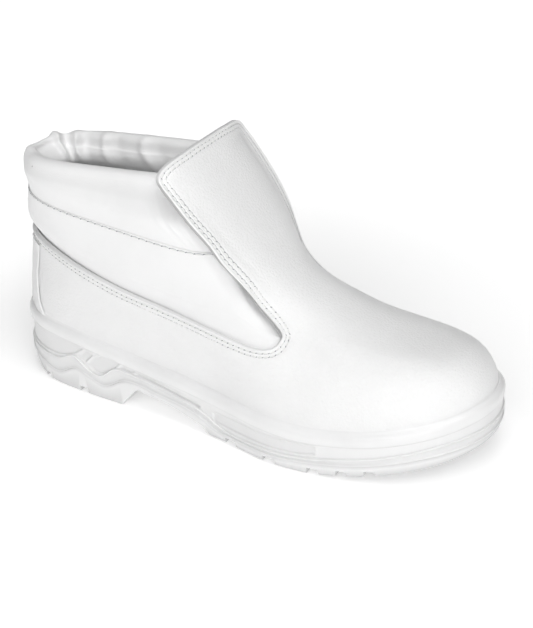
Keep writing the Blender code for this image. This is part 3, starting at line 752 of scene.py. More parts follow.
def resample(rows, count):
    """Smooth curve through rows of points, read at count places evenly along its middle column."""
    rows = np.asarray(rows)
    knots = path_length(rows[:, rows.shape[1] // 2])
    at = np.linspace(0.0, knots[-1], count)
    columns = rows.reshape(len(rows), -1).T
    return np.stack([smooth_values(knots, column, at) for column in columns], 1).reshape(count, -1, 3)


def select_only(piece):
    """Make one object the only selected one, and active."""
    bpy.ops.object.select_all(action="DESELECT")
    piece.select_set(True)
    bpy.context.view_layer.objects.active = piece


def lay_grid(name, points, slots=()):
    """Grid laid on rows of points in millimetres. Rows and columns that meet are joined, and holes closed.

    slots holds (row, material slot) pairs: faces from that row on take that slot. The mesh's UV map is in
    metres along the rows and columns.
    """
    rows, columns = points.shape[:2]
    bpy.ops.object.select_all(action="DESELECT")
    bpy.ops.mesh.primitive_grid_add(x_subdivisions=columns - 1, y_subdivisions=rows - 1, size=1.0)
    piece = bpy.context.object
    piece.name = name
    mesh = piece.data
    mesh.name = name
    at = np.empty(rows * columns * 3)
    mesh.vertices.foreach_get("co", at)
    column = np.rint((at[0::3] + 0.5) * (columns - 1)).astype(int)
    row = np.rint((at[1::3] + 0.5) * (rows - 1)).astype(int)
    mesh.vertices.foreach_set("co", to_frame(points[row, column]).ravel())
    corner = np.empty(len(mesh.loops), int)
    mesh.loops.foreach_get("vertex_index", corner)
    across = path_length(points[rows // 2])[column[corner]]
    upward = path_length(points[:, columns // 2])[row[corner]]
    mesh.uv_layers[0].data.foreach_set("uv", (np.stack([across, upward], 1) * MM).ravel())
    if slots:
        low = row[corner].reshape(-1, 4).min(axis=1)
        slot = np.zeros(len(low), int)
        for first, number in slots:
            slot[low >= first] = number
        mesh.polygons.foreach_set("material_index", slot)
    bpy.ops.object.mode_set(mode="EDIT")
    bpy.ops.mesh.select_all(action="SELECT")
    bpy.ops.mesh.remove_doubles(threshold=1e-6)
    bpy.ops.mesh.fill_holes(sides=0)
    bpy.ops.mesh.select_all(action="SELECT")
    bpy.ops.mesh.normals_make_consistent(inside=False)
    bpy.ops.object.mode_set(mode="OBJECT")
    return piece


def dress(piece, materials, nodes=(), sharp=SHARP):
    """Materials by their names and smooth shading, and the piece's place in the part."""
    select_only(piece)
    bpy.ops.object.shade_smooth_by_angle(angle=sharp)
    piece.data.materials.clear()
    for name in materials:
        piece.data.materials.append(bpy.data.materials[name])
    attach(piece, BODY)
    for node in nodes:
        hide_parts(node)


def along_row(path, normals, pitch, shift=0.5):
    """Places of stitches along a path: middles, directions and normals, a pitch apart."""
    run = path_length(path)
    count = int(run[-1] / pitch)
    at = (np.arange(count) + shift) * run[-1] / count

    def read(values, place):
        return np.stack([np.interp(place, run, values[:, i]) for i in range(3)], axis=-1)

    ahead = unit(read(path, at + STITCH_AIM) - read(path, at - STITCH_AIM))
    return read(path, at), ahead, unit(read(normals, at))


def copies(name, model, places, sink, slant=0.0):
    """One mesh with a copy of the model at each place, turned from the row by slant and sunk in."""
    points = np.array([vertex.co for vertex in model.data.vertices]) / MM
    # A sphere's faces come in another order from run to run, so they are sorted
    faces = sorted(list(face.vertices) for face in model.data.polygons)
    middle, ahead, normal = [np.concatenate(part) for part in zip(*places)]
    side = unit(np.cross(normal, ahead))
    over = np.cross(ahead, side)
    along = ahead * np.cos(slant) + side * np.sin(slant)
    across = side * np.cos(slant) - ahead * np.sin(slant)
    moved = (middle - sink * over)[:, None] + sum(
        points[None, :, i, None] * axis[:, None] for i, axis in enumerate((along, across, over)))
    mesh = bpy.data.meshes.new(name)
    count = len(points)
    every = [[index + count * number for index in face] for number in range(len(middle)) for face in faces]
    mesh.from_pydata(to_frame(moved.reshape(-1, 3)), [], every)
    piece = bpy.data.objects.new(name, mesh)
    bpy.context.scene.collection.objects.link(piece)
    bpy.data.objects.remove(model)
    return piece


def small_bead(length, width, height):
    """Rounded bead at the origin with the given sizes in millimetres, to be copied."""
    bpy.ops.object.select_all(action="DESELECT")
    bpy.ops.mesh.primitive_uv_sphere_add(segments=BEAD_SEGMENTS, ring_count=BEAD_RINGS, radius=0.5)
    bead = bpy.context.object
    bpy.ops.transform.resize(value=(length * MM, width * MM, height * MM))
    bpy.ops.object.transform_apply(location=False, rotation=False, scale=True)
    return bead


def add_node(material, kind, wires=None, inputs=None, feeds=None, **settings):
    """Node with its settings, constant inputs, wires from other nodes and the shader's inputs it feeds."""
    tree = material.node_tree
    node = tree.nodes.new(f"ShaderNode{kind}")
    for key, value in settings.items():
        setattr(node, key, value)
    for key, value in (inputs or {}).items():
        node.inputs[key].default_value = value
    for key, source in (wires or {}).items():
        tree.links.new(source, node.inputs[key])
    for key, goal in (feeds or {}).items():
        tree.links.new(node.outputs[key], tree.nodes["Principled BSDF"].inputs[goal])
    return node


def new_material(name, colour, roughness, **inputs):
    """Principled material with its colour, roughness and other constant inputs set on the shader."""
    material = bpy.data.materials.new(name)
    material.use_nodes = True
    shader = material.node_tree.nodes["Principled BSDF"]
    shader.inputs["Base Color"].default_value = (*colour, 1.0)
    shader.inputs["Roughness"].default_value = roughness
    for key, value in inputs.items():
        shader.inputs[key.replace("_", " ")].default_value = value
    return material


def tint(material, colour, factor, darker):
    """Mix the base colour towards a darker one where factor is high."""
    dark = [value * darker for value in colour]
    add_node(material, "Mix", {"Factor": factor}, {6: (*colour, 1.0), 7: (*dark, 1.0)}, {2: "Base Color"},
             data_type="RGBA")


def leather(name, colour, grain, depth, roughness):
    """Coated microfibre: pebbled grain, faint clouding, a satin skin, a raw edge grey partly with painted
    shade, and a few specks.
    """
    material = new_material(name, colour, roughness, Coat_Weight=0.06, Coat_Roughness=0.35)
    place = add_node(material, "TexCoord").outputs["Object"]
    warp = add_node(material, "TexNoise", {"Vector": place},
                    {"Scale": 1.0 / (PEBBLE_BEND * grain), "Detail": 2.0})
    bent = add_node(material, "Mix", {4: place, 5: warp.outputs["Color"]}, {"Factor": 0.0006},
                    data_type="VECTOR")
    pebble = add_node(material, "TexVoronoi", {"Vector": bent.outputs[1]},
                      {"Scale": 1.0 / grain, "Smoothness": 0.6}, feature="SMOOTH_F1")
    fine = add_node(material, "TexNoise", {"Vector": place},
                    {"Scale": 1.0 / (PEBBLE_FINE * grain), "Detail": 2.0})
    both = add_node(material, "Math", {0: pebble.outputs["Distance"], 1: fine.outputs["Fac"]},
                    operation="ADD")
    add_node(material, "Bump", {"Height": both.outputs[0]}, {"Strength": 0.8, "Distance": depth},
             {"Normal": "Normal"}, invert=True)
    # Specks: a dot in the middle of some cells of a coarse pattern
    cells = add_node(material, "TexVoronoi", {"Vector": place}, {"Scale": 1.0 / SPECK_CELL})
    chosen = add_node(material, "SeparateColor", {"Color": cells.outputs["Color"]})
    dot = add_node(material, "Math", {0: cells.outputs["Distance"]}, {1: SPECK / SPECK_CELL},
                   operation="LESS_THAN")
    some = add_node(material, "Math", {0: chosen.outputs["Red"]}, {1: 0.6}, operation="GREATER_THAN")
    speck = add_node(material, "Math", {0: dot.outputs[0], 1: some.outputs[0]}, operation="MULTIPLY")
    cloud = add_node(material, "TexNoise", {"Vector": place}, {"Scale": 1.0 / CLOUD, "Detail": 3.0})
    soft = add_node(material, "MapRange", {"Value": cloud.outputs["Fac"]},
                    {"From Min": 0.35, "From Max": 0.75, "To Max": 0.06})
    darkening = add_node(material, "Math", {0: speck.outputs[0], 1: soft.outputs["Result"]}, operation="MAXIMUM")
    # The raw edge's grey, partly painted shade, comes from the mesh
    raw = add_node(material, "Attribute", attribute_name="painted_shade")
    grey = add_node(material, "Math", {0: darkening.outputs[0], 1: raw.outputs["Fac"]}, operation="MAXIMUM")
    tint(material, colour, grey.outputs[0], darker=0.35)


def moulded(name, colour, roughness):
    """Cast polyurethane: a fine matt skin with faint flow marks, and painted shade under its bead and in its
    hollows.
    """
    material = new_material(name, colour, roughness, Coat_Weight=0.25, Coat_Roughness=0.25)
    place = add_node(material, "TexCoord").outputs["Object"]
    skin = add_node(material, "TexNoise", {"Vector": place}, {"Scale": 1.0 / SKIN, "Detail": 3.0})
    add_node(material, "Bump", {"Height": skin.outputs["Fac"]}, {"Strength": 0.35, "Distance": SKIN_DEPTH},
             {"Normal": "Normal"})
    flow = add_node(material, "TexNoise", {"Vector": place}, {"Scale": 1.0 / FLOW, "Detail": 4.0})
    marks = add_node(material, "MapRange", {"Value": flow.outputs["Fac"]},
                     {"From Min": 0.4, "From Max": 0.75, "To Max": 0.12})
    # Painted shade stored on the mesh darkens the base colour, together with the flow marks
    painted_shade = add_node(material, "Attribute", attribute_name="painted_shade")
    darkening = add_node(material, "Math", {0: painted_shade.outputs["Fac"], 1: marks.outputs["Result"]},
                    operation="MAXIMUM")
    tint(material, colour, darkening.outputs[0], darker=0.62)


def ribbed(name, colour, pitch, roughness):
    """Knitted lining or elastic: ribs a pitch apart along the piece, with a matt, slightly fuzzy face."""
    material = new_material(name, colour, roughness, Sheen_Weight=0.25, Sheen_Roughness=0.5)
    flat = add_node(material, "TexCoord").outputs["UV"]
    ribs = add_node(material, "TexWave", {"Vector": flat},
                    {"Scale": RIB_WAVE / pitch, "Distortion": 0.4, "Detail": 1.0}, bands_direction="X")
    rows = add_node(material, "TexWave", {"Vector": flat},
                    {"Scale": ROW_WAVE / pitch, "Distortion": 0.6, "Detail": 1.0}, bands_direction="Y")
    knit = add_node(material, "Math", {0: rows.outputs["Fac"], 2: ribs.outputs["Fac"]}, {1: 0.35},
                    operation="MULTIPLY_ADD")
    add_node(material, "Bump", {"Height": knit.outputs[0]}, {"Strength": 0.6, "Distance": 0.12 * pitch},
             {"Normal": "Normal"})
    # Painted shade: darker in the valleys between the ribs
    deep = add_node(material, "Math", {0: ribs.outputs["Fac"]}, {1: -0.6, 2: 0.6}, operation="MULTIPLY_ADD")
    tint(material, colour, deep.outputs[0], darker=0.9)


def fibrous(name, colour, size, roughness):
    """Felt, thread or broken microfibre: matt, with short loose fibres."""
    material = new_material(name, colour, roughness, Sheen_Weight=0.15)
    place = add_node(material, "TexCoord").outputs["Object"]
    fibre = add_node(material, "TexNoise", {"Vector": place},
                     {"Scale": 1.0 / size, "Detail": 5.0, "Roughness": 0.7})
    add_node(material, "Bump", {"Height": fibre.outputs["Fac"]}, {"Strength": 0.7, "Distance": 0.3 * size},
             {"Normal": "Normal"})
    tint(material, colour, fibre.outputs["Fac"], darker=0.8)


def glowing(name, colour, roughness):
    """Backdrop paper: plain and matt, with a painted glow that grows away from the boot."""
    material = new_material(name, colour, roughness, Emission_Color=(1.0, 1.0, 1.0, 1.0))
    place = add_node(material, "TexCoord").outputs["Object"]
    away = add_node(material, "VectorMath", {0: place}, operation="LENGTH")
    near, far = FLOOR_GLOW
    add_node(material, "MapRange", {"Value": away.outputs["Value"]},
             {"From Min": near.distance, "From Max": far.distance, "To Min": near.strength,
              "To Max": far.strength}, {"Result": "Emission Strength"}, interpolation_type="SMOOTHSTEP")


def store_painted_shade(piece, depth_at):
    """Store how grey each point is, as painted shade, for the materials."""
    points = np.array([vertex.co for vertex in piece.data.vertices]) / MM
    points = points + np.array([LENGTH / 2, CENTRE_Y, 0.0])
    layer = piece.data.attributes.new("painted_shade", "FLOAT", "POINT")
    layer.data.foreach_set("value", depth_at(points).astype(np.float32))


def panel_depth(points):
    """How deep side-view points lie in the shallow panels of the sole's side, 0 to 1, and near their rims."""
    deep = np.zeros(points.shape[:-1])
    rim = np.zeros(points.shape[:-1])
    for loop in SOLE_PANELS:
        inside = inside_outline(points, loop)
        deep = np.maximum(deep, ease((inside + PANEL_START) / PANEL_SLOPE))
        rim = np.maximum(rim, bump(inside, RIM_OUT, RIM_WIDTH))
    return deep, rim


def sole_shade(points):
    """How grey points of the sole's side are, as painted shade: below the bead, in the panels and along the
    rib.
    """
    x, z = points[:, 0], points[:, 2]
    deep, _ = panel_depth(points[:, [0, 2]])
    grey = WALL_SHADE * ease((smooth(WELT_LINE, x) + BEAD_FOOT - z) / WALL_SHADE_OVER) + PANEL_SHADE * deep
    for shade_line in SHADE_LINES:
        grey = np.maximum(grey, shade_line.strength * bump(z, smooth(LINES[shade_line.line], x) + shade_line.above, shade_line.width))
    return grey


def tread_shade(points):
    """How grey points of the tread are: painted shade, more towards the ground."""
    above = points[:, 2] - smooth(TREAD_LINE, points[:, 0])
    return sole_shade(points) + TREAD_SHADE * ease(1 - above / TREAD_SHADE_TO)


class BootSizes(bpy.types.PropertyGroup):
    """Sizes of the fine detail, in metres."""

    stitch: bpy.props.FloatProperty(
        name="Stitch", description="Length of one stitch", default=0.0027, unit="LENGTH")
    seam_stitch: bpy.props.FloatProperty(
        name="Seam stitch", description="Length of a stitch under the collar", default=0.0038, unit="LENGTH")
    thread: bpy.props.FloatProperty(
        name="Thread", description="Thickness of the sewing thread", default=0.0009, unit="LENGTH")
    pitch: bpy.props.FloatProperty(
        name="Pitch", description="Length from stitch to stitch by the edge", default=0.0036, unit="LENGTH")
    seam_pitch: bpy.props.FloatProperty(
        name="Seam pitch", description="Length from stitch to stitch by the collar", default=0.005,
        unit="LENGTH")
    grain: bpy.props.FloatProperty(
        name="Grain", description="Size of a pebble of the upper's grain", default=0.0013, unit="LENGTH")
    fine_grain: bpy.props.FloatProperty(
        name="Fine grain", description="Grain of the padded pieces", default=0.0008, unit="LENGTH")
    rib: bpy.props.FloatProperty(
        name="Rib", description="Width of a rib of the lining", default=0.0018, unit="LENGTH")
    relief: bpy.props.FloatProperty(
        name="Relief", description="Depth of the panels on the sole's side", default=0.0007, unit="LENGTH")


class BootColours(bpy.types.PropertyGroup):
    """Colours of the materials."""

    upper: bpy.props.FloatVectorProperty(
        name="Upper", description="Coated microfibre", default=linear("F3F3F3"), subtype="COLOR")
    sole: bpy.props.FloatVectorProperty(
        name="Sole", description="Cast polyurethane", default=linear("EFEFEF"), subtype="COLOR")
    thread: bpy.props.FloatVectorProperty(
        name="Thread", description="Sewing thread", default=linear("F2F2F0"), subtype="COLOR")
    hole: bpy.props.FloatVectorProperty(
        name="Needle hole", description="Shadow in a needle hole", default=linear("9C9DA0"), subtype="COLOR")
    dent: bpy.props.FloatVectorProperty(
        name="Stitch dent", description="Shadow round a stitch", default=linear("CDCED0"), subtype="COLOR")
    lining: bpy.props.FloatVectorProperty(
        name="Lining", description="Knitted lining and elastic", default=linear("FAFAFA"), subtype="COLOR")
    # The cut edge's grey is partly its own colour and partly painted shade
    edge: bpy.props.FloatVectorProperty(
        name="Cut edge", description="Raw edge of the microfibre", default=linear("A8A9AB"), subtype="COLOR")
    floor: bpy.props.FloatVectorProperty(
        name="Floor", description="Studio floor", default=linear("FAFAFA"), subtype="COLOR")


class BOOT_OT_materials(bpy.types.Operator):
    """Make the materials"""

    bl_idname = "boot.materials"
    bl_label = "Materials"

    def execute(self, context):
        sizes, colours = context.scene.boot_sizes, context.scene.boot_colours
        leather("grained_microfibre", colours.upper, sizes.grain, depth=0.00024, roughness=0.42)
        leather("smooth_microfibre", colours.upper, sizes.fine_grain, depth=0.00008, roughness=0.46)
        moulded("cast_polyurethane", colours.sole, roughness=0.32)
        moulded("tread_polyurethane", colours.sole, roughness=0.48)
        ribbed("knitted_lining", colours.lining, sizes.rib, roughness=0.9)
        ribbed("elastic_webbing", colours.lining, pitch=0.0014, roughness=0.85)
        fibrous("insole_felt", colours.lining, size=0.0006, roughness=0.95)
        # Raw edge: its own grey, darkened with painted shade
        fibrous("raw_edge_painted_shade", colours.edge, size=0.0004, roughness=0.9)
        fibrous("sewing_thread", colours.thread, size=0.0003, roughness=0.6)
        # Painted shadow where a needle went through and where a stitch presses: matt and greyer
        fibrous("needle_hole_shadow", colours.hole, size=0.0003, roughness=0.9)
        fibrous("stitch_dent_shadow", colours.dent, size=0.0003, roughness=0.9)
        return {"FINISHED"}


def edge_curl(level, angle, away):
    """How far the flap's edges curl out, by the distance from the free edge."""
    near = CURL * ease(1 - away / CURL_REACH) * ease((CURL_END - level) / (CURL_END - CURL_FADES))
    far = smooth(FAR_EDGE, away) * ease((np.pi - angle) / FAR_FADES) * ease((FAR_END - level) / FAR_OVER)
    return ease((level - CURL_FROM) / (CURL_FULL - CURL_FROM)) * np.where(angle < 0, near, far)


def edge_height(level, angle, away):
    """How far the upper's face stands proud of the last by its free edge."""
    return edge_curl(level, angle, away) + smooth(FOLD, away)


def edge_shade(points):
    """How grey the raw edge is at points beside it: its own grey and painted shade, more on the flap's sides.
    """
    height, toe, slope = FLAP_LINE
    x, z = points[:, 0], points[:, 2]
    flap = ease((z - height - slope * (toe - x)) / FLAP_FADE) * ease((FLAP_CORNER - z) / FLAP_FADE)
    return RAW_SHADE + (FLAP_SHADE - RAW_SHADE) * flap


def sew(name, stitch, thread, places, holes):
    """Threads of rows of stitches, the dents that they press and the holes between them, both grey with
    painted shadow.
    """
    dent = (stitch + DENT_RIM, thread + DENT_RIM, HOLE_HEIGHT)
    hole = (HOLE_LENGTH, HOLE_WIDTH, HOLE_HEIGHT)
    pieces = [
        ("stitches", "sewing_thread", (stitch, thread, thread), places, THREAD_SINK * thread, 0.0),
        ("dents", "stitch_dent_shadow", dent, places, DENT_SINK, 0.0),
        ("needle_holes", "needle_hole_shadow", hole, holes, HOLE_SINK, HOLE_SLANT),
    ]
    for kind, look, size, at, sink, slant in pieces:
        dress(copies(f"{name}_{kind}", small_bead(*size), at, sink, slant), [look])


class BOOT_OT_upper(bpy.types.Operator):
    """Lay the vamp, quarters and flap on the last, with a folded edge and two rows of stitches"""

    bl_idname = "boot.upper"
    bl_label = "Upper"

    def execute(self, context):
        sizes = context.scene.boot_sizes
        level, turn = upper_rows()
        level, angle = both_sides(level), both_sides(turn, sign=True)
        normal = last_normal(level, angle, UPPER_RINGS)
        skin = soft_surface(level, angle)
        away = distance(skin, skin[-1])
        outside = skin + normal * edge_height(level, angle, away)[..., None]
        skin = skin + normal * edge_curl(level, angle, away)[..., None]
        under = skin - normal * WALL
        sheet = np.concatenate([outside, under[::-UNDER_STEP], under[:1], outside[:1]])
        rows = len(outside)
        piece = lay_grid("upper_leather", sheet, [(rows - 1, 1), (rows, 2)])

        def raw_edge_shade(points):
            """How grey points are, by their distance from the cut edge: the raw edge's grey and painted
            shade.
            """
            return edge_shade(points) * ease((RAW_WIDTH - distance(points, outside[-1])) / RAW_FADE)

        store_painted_shade(piece, raw_edge_shade)
        looks = ["grained_microfibre", "raw_edge_painted_shade", "knitted_lining"]
        dress(piece, looks, ["upper"])
        places, holes = [], []
        for distance_in in STITCH_ROWS:
            row_level, row_angle = row_inside(level[-1], angle[-1], distance_in)
            normals = last_normal(row_level, row_angle, UPPER_RINGS)
            path = soft_surface(row_level, row_angle)
            path = path + normals * edge_height(row_level, row_angle, distance_in)[:, None]
            places.append(along_row(path, normals, sizes.pitch / MM))
            holes.append(along_row(path, normals, sizes.pitch / MM, shift=0.0))
        sew("edge", sizes.stitch / MM, sizes.thread / MM, places, holes)
        return {"FINISHED"}


class BOOT_OT_ankle_panel(bpy.types.Operator):
    """Shape the padded ankle panel with its soft ridges, and sew it under the collar"""

    bl_idname = "boot.ankle_panel"
    bl_label = "Ankle panel"

    def execute(self, context):
        sizes = context.scene.boot_sizes
        angle = np.linspace(-BAND_REACH, BAND_REACH, BAND_STEPS + 1)
        foot = smooth(PANEL_FOOT, np.abs(angle))
        share = np.linspace(0.0, 1.0, PANEL_ROWS + 1)[:, None]
        level = foot + (SEAM_RING - foot) * share
        fade = 1.0 - SEAM_PINCH * ease((share - PINCH_FROM) / (1.0 - PINCH_FROM))
        turn = np.broadcast_to(angle, level.shape)
        depth = tuck_depth(level, turn, fade)
        clear = clear_of_edge(last_surface(level, turn, RINGS))
        beside_flap = bump(np.abs(turn), RIDGES_AT, RIDGES_WIDTH)
        for ridge in PANEL_RIDGES:
            depth = depth + ridge.height * bump(clear, ridge.away, ridge.width) * beside_flap
        outside = offset(level, turn, depth)
        inside = offset(level[::INNER_STEP], turn[::INNER_STEP], PANEL_INNER)
        top = [outside[-1] * (1 - t) + inside[-1] * t for t in TOP_SHARES]
        sheet = np.concatenate([outside, top, inside[::-1], outside[:1]])
        lining = PANEL_ROWS + len(top)
        sheet[PANEL_ROWS:lining + 2, :, 2] -= SEAM_GAP
        piece = lay_grid("ankle_pad", sheet, [(lining, 1)])
        dress(piece, ["smooth_microfibre", "knitted_lining"], ["ankle_panel"])
        row = int(np.argmin(np.abs(share[:, 0] - SEAM_ROW)))
        seen = np.abs(angle) < SEAM_REACH
        path = outside[row][seen]
        normals = last_normal(level[row], angle, RINGS)[seen]
        pitch = sizes.seam_pitch / MM
        sew("collar", sizes.seam_stitch / MM, sizes.thread / MM, [along_row(path, normals, pitch)],
            [along_row(path, normals, pitch, shift=0.0)])
        return {"FINISHED"}


class BOOT_OT_collar(bpy.types.Operator):
    """Shape the rolled collar with its folds and lining"""

    bl_idname = "boot.collar"
    bl_label = "Collar"

    def execute(self, context):
        angle = np.linspace(-BAND_REACH, BAND_REACH, BAND_STEPS + 1)
        up = np.array([0.0, 0.0, 1.0])
        along = last_ring(RIM, angle + SMALL) - last_ring(RIM, angle - SMALL)
        out = unit(np.cross(up, along))
        humps = np.array([bump(angle, pleat.angle, pleat.width) for pleat in PLEATS])
        columns = [np.array([getattr(pleat, c) for pleat in PLEATS]) for c in ("push", "lift", "out")]
        push, lift, wider = [column @ humps for column in columns]
        radius = (ROLL_RADIUS * (1 - HEEL_THIN * bump(angle, 0.0, HEEL_WIDTH)))[:, None]
        centre = last_ring(RIM, angle) + (lift[:, None] - radius) * up + wider[:, None] * out

        def on_roll(turn):
            """Points on the roll, turned up from its outer side, with the folds on its inner half."""
            inward = push * ease((turn - FOLDS_FROM) / FOLDS_OVER)
            return centre + radius * (out * np.cos(turn) + up * np.sin(turn)) - inward[:, None] * out

        rows = []
        for row in COLLAR_FOOT:
            level = np.full_like(angle, SEAM_RING + row.rise)
            flatter = HEEL_FLAT * bump(angle, 0.0, HEEL_FLAT_WIDTH) * row.rise / COLLAR_FOOT[-1].rise
            rows.append(offset(level, angle, tuck_depth(level, angle, row.share) - flatter))
        bulge = COLLAR_BULGE - HEEL_FLAT * bump(angle, 0.0, HEEL_FLAT_WIDTH) / 2
        rows.append((rows[-1] + on_roll(ROLL_TURNS[0])) / 2 + bulge[:, None] * out)
        rows += [on_roll(turn) for turn in ROLL_TURNS]
        foot = offset(np.full_like(angle, SEAM_RING), angle, PANEL_INNER)
        hem = rows[-1]
        rows += [foot * (1 - t) + hem * t - 4 * INNER_BULGE * t * (1 - t) * out for t in INNER_SHARES]
        sheet = resample(rows, COLLAR_ROWS)
        height = np.linspace(0.0, 1.0, COLLAR_ROWS)[:, None]
        ripple = np.cos((angle - PUCKER_AT) / PUCKER_STEP * 2 * np.pi)
        wave = PUCKER_DEPTH * bump(angle, PUCKER_AT, PUCKER_WIDTH) * ripple
        sheet = sheet + (wave * bump(height, PUCKER_HEIGHT, PUCKER_HEIGHT))[..., None] * out
        sheet = np.concatenate([sheet, sheet[:1]])
        piece = lay_grid("collar_pad", sheet, [(int(LINING_FROM * COLLAR_ROWS), 1)])
        dress(piece, ["smooth_microfibre", "knitted_lining"], ["collar"])
        return {"FINISHED"}


class BOOT_OT_gusset(bpy.types.Operator):
    """Lay the elastic gusset under the flap"""

    bl_idname = "boot.gusset"
    bl_label = "Gusset"

    def execute(self, context):
        across = np.linspace(-GUSSET_REACH, GUSSET_REACH, GUSSET_STEPS + 1)
        level = np.linspace(GUSSET_FOOT, GUSSET_TOP, GUSSET_ROWS + 1)[:, None]
        taper = GUSSET_TAPER * ease((level - GUSSET_NARROWS) / (GUSSET_TOP - GUSSET_NARROWS))
        turn = np.pi + across * (1 - taper)
        angle = np.where(turn > np.pi, turn - 2 * np.pi, turn)
        outside = offset(level, angle, -WALL - GUSSET_UNDER)
        inside = offset(level, angle, -WALL - GUSSET_UNDER - GUSSET_THICKNESS)
        piece = lay_grid("gusset_elastic", np.concatenate([outside, inside[::-1], outside[:1]]))
        dress(piece, ["elastic_webbing"], ["gusset"])
        return {"FINISHED"}


class BOOT_OT_backstay(bpy.types.Operator):
    """Lay the strip over the back seam, with a double raised line along its edges"""

    bl_idname = "boot.backstay"
    bl_label = "Backstay"

    def execute(self, context):
        half = np.array([row.share for row in BACKSTAY_SECTION])
        tall = np.array([row.height for row in BACKSTAY_SECTION])
        share = np.concatenate([-half[:0:-1], half])
        height = np.concatenate([tall[:0:-1], tall])
        level = np.linspace(BACKSTAY_FOOT, BACKSTAY_TOP, BACKSTAY_ROWS + 1)[:, None]
        angle = smooth(BACKSTAY, level) * share
        outside = offset(level, angle, GAP + height)
        inside = offset(level, angle, GAP)
        piece = lay_grid("backstay_strip", np.concatenate([outside, inside[::-1], outside[:1]]))
        dress(piece, ["grained_microfibre"], ["backstay"])
        return {"FINISHED"}


class BOOT_OT_midsole(bpy.types.Operator):
    """Shape the midsole cup: rib, wall with shallow panels, and bead"""

    bl_idname = "boot.midsole"
    bl_label = "Midsole"

    def execute(self, context):
        relief = context.scene.boot_sizes.relief / MM
        angle = loop_angles(SOLE_STEPS)
        rib = [side_ring(angle, step) for step in RIB_SIDE]
        bead = [side_ring(angle, step) for step in BEAD_SIDE]
        x = LENGTH / 2 * (1 - np.cos(angle))
        foot, welt = smooth(RIB_TOP, x), smooth(WELT_LINE, x)
        wall = []
        for share in np.linspace(0.0, 1.0, WALL_ROWS + 1)[1:]:
            z = foot + (welt + BEAD_FOOT - foot) * share
            deep, rim = panel_depth(np.stack([x, z], axis=-1))
            inset = smooth(WALL_TOP, z - welt) + relief * deep - RIM_HEIGHT * relief * rim
            wall.append(sole_ring(angle, inset, z))
        floor = side_ring(angle, SideStep("welt", -WELT_DEPTH - GAP, RINGS[0].inset - GAP))
        piece = lay_grid("midsole_cup", closed([*rib, *wall, *bead, floor]))
        # Painted shade under the bead, along the rib's edges and in the panels
        store_painted_shade(piece, sole_shade)
        dress(piece, ["cast_polyurethane"], ["midsole"])
        return {"FINISHED"}


class BOOT_OT_outsole(bpy.types.Operator):
    """Shape the outsole and cut its arch and grooves"""

    bl_idname = "boot.outsole"
    bl_label = "Outsole"

    def execute(self, context):
        angle = loop_angles(TREAD_STEPS)
        rings = [side_ring(angle, step) for step in TREAD_SIDE]
        piece = lay_grid("outsole_tread", closed(rings))
        loop = np.array([(row.x, row.z) for row in ARCH])
        sides = np.array([np.insert(loop, 1, y, axis=1) for y in (-CUTTER_REACH, CUTTER_REACH)])
        self.cut(piece, lay_grid("arch_cutter", np.concatenate([sides, sides[:, :1]], axis=1)))
        for groove in GROOVES:
            bpy.ops.object.select_all(action="DESELECT")
            place = to_frame([groove.x, CENTRE_Y, float(smooth(TREAD_LINE, groove.x))])
            bpy.ops.mesh.primitive_cube_add(size=1.0, location=place, rotation=(0.0, 0.0, -groove.turn))
            cutter = bpy.context.object
            cutter.scale = np.array([groove.width, 2 * CUTTER_REACH, 2 * GROOVE_DEPTH]) * MM
            self.cut(piece, cutter)
        select_only(piece)
        soften = piece.modifiers.new("soft_edges", "BEVEL")
        soften.width = TREAD_ROUND * MM
        soften.segments = 2
        soften.limit_method = "ANGLE"
        soften.angle_limit = TREAD_CORNER
        bpy.ops.object.modifier_apply(modifier=soften.name)
        # Painted shade along the rib and towards the ground
        store_painted_shade(piece, tread_shade)
        dress(piece, ["tread_polyurethane"], ["outsole"], TREAD_SHARP)
        return {"FINISHED"}

    def cut(self, piece, cutter):
        """Cut the piece by a cutter, which then goes."""
        select_only(piece)
        cut = piece.modifiers.new("cut", "BOOLEAN")
        cut.operation = "DIFFERENCE"
        cut.object = cutter
        bpy.ops.object.modifier_apply(modifier=cut.name)
        bpy.data.objects.remove(cutter)


class BOOT_OT_insole(bpy.types.Operator):
    """Lay the felt insole on the midsole's floor"""

    bl_idname = "boot.insole"
    bl_label = "Insole"

    def execute(self, context):
        angle = loop_angles(TREAD_STEPS)
        rings = [side_ring(angle, SideStep("welt", INSOLE_THICKNESS * t - WELT_DEPTH, INSOLE_INSET + inset))
                 for t, inset in INSOLE_SIDE]
        piece = lay_grid("insole_felt", closed(rings))
        dress(piece, ["insole_felt"], ["insole"])
        return {"FINISHED"}


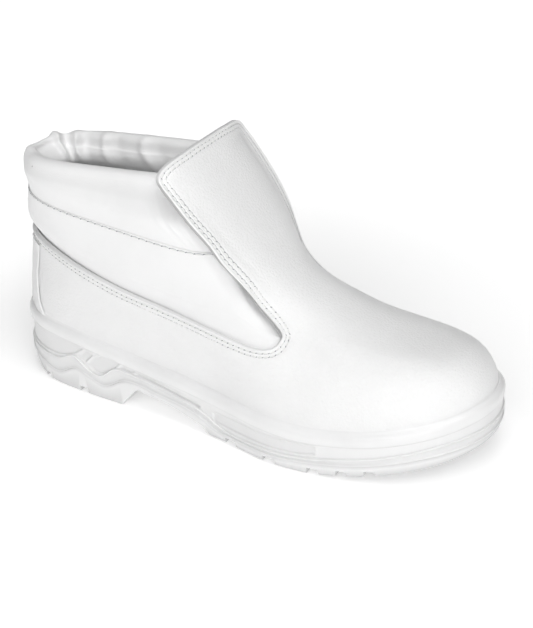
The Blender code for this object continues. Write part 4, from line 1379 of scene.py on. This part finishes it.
class BOOT_OT_stage(bpy.types.Operator):
    """Set the floor, the lamps and the camera of the photograph"""

    bl_idname = "boot.stage"
    bl_label = "Stage"

    def execute(self, context):
        scene = context.scene
        bpy.ops.object.select_all(action="DESELECT")
        bpy.ops.mesh.primitive_plane_add(size=FLOOR_SIZE)
        floor = context.object
        floor.name = "studio_floor"
        glowing("glowing_paper", scene.boot_colours.floor, roughness=0.9)
        floor.data.materials.append(bpy.data.materials["glowing_paper"])
        for lamp in LAMPS:
            bpy.ops.object.light_add(type="AREA", location=lamp.place)
            light = context.object
            light.name = lamp.name
            light.data.size = lamp.size
            light.data.energy = lamp.power
            light.rotation_euler = (LAMP_AIM - Vector(lamp.place)).to_track_quat("-Z", "Y").to_euler()
        world = bpy.data.worlds.new("studio")
        world.use_nodes = True
        sky = world.node_tree.nodes["Background"]
        sky.inputs["Color"].default_value = (1.0, 1.0, 1.0, 1.0)
        sky.inputs["Strength"].default_value = WORLD_STRENGTH
        scene.world = world
        scene.view_settings.view_transform = "Standard"
        bpy.ops.object.camera_add()
        camera = context.object
        camera.name = "photo_camera"
        camera.data.sensor_width = CAMERA_SENSOR
        camera.data.lens = CAMERA_LENS
        turn, rise, roll = CAMERA_AZIMUTH, CAMERA_ELEVATION, CAMERA_ROLL
        back = np.array([np.sin(turn) * np.cos(rise), -np.cos(turn) * np.cos(rise), np.sin(rise)])
        level = np.array([np.cos(turn), np.sin(turn), 0.0])
        up = np.cross(back, level)
        right = np.cos(roll) * level + np.sin(roll) * up
        top = np.cos(roll) * up - np.sin(roll) * level
        turned = np.column_stack([right, top, back, CAMERA_PLACE])
        camera.matrix_world = Matrix([*turned.tolist(), [0.0, 0.0, 0.0, 1.0]])
        scene.camera = camera
        return {"FINISHED"}


STEPS = [
    BOOT_OT_materials, BOOT_OT_outsole, BOOT_OT_midsole, BOOT_OT_insole, BOOT_OT_upper, BOOT_OT_backstay,
    BOOT_OT_ankle_panel, BOOT_OT_collar, BOOT_OT_gusset, BOOT_OT_stage,
]


class BOOT_PT_pieces(bpy.types.Panel):
    """Sidebar with the boot's operators"""

    bl_idname = "BOOT_PT_pieces"
    bl_label = "Safety boot"
    bl_space_type = "VIEW_3D"
    bl_region_type = "UI"
    bl_category = "Boot"

    def draw(self, context):
        for step in STEPS:
            self.layout.operator(step.bl_idname)


CLASSES = [BootSizes, BootColours, *STEPS, BOOT_PT_pieces]


def register():
    for item in CLASSES:
        bpy.utils.register_class(item)
    bpy.types.Scene.boot_sizes = bpy.props.PointerProperty(type=BootSizes)
    bpy.types.Scene.boot_colours = bpy.props.PointerProperty(type=BootColours)


def unregister():
    del bpy.types.Scene.boot_colours
    del bpy.types.Scene.boot_sizes
    for item in reversed(CLASSES):
        bpy.utils.unregister_class(item)


def main():
    register()
    bpy.ops.boot.materials()
    bpy.ops.boot.outsole()
    bpy.ops.boot.midsole()
    bpy.ops.boot.insole()
    bpy.ops.boot.upper()
    bpy.ops.boot.backstay()
    bpy.ops.boot.ankle_panel()
    bpy.ops.boot.collar()
    bpy.ops.boot.gusset()
    bpy.ops.boot.stage()


if __name__ == "__main__":
    main()
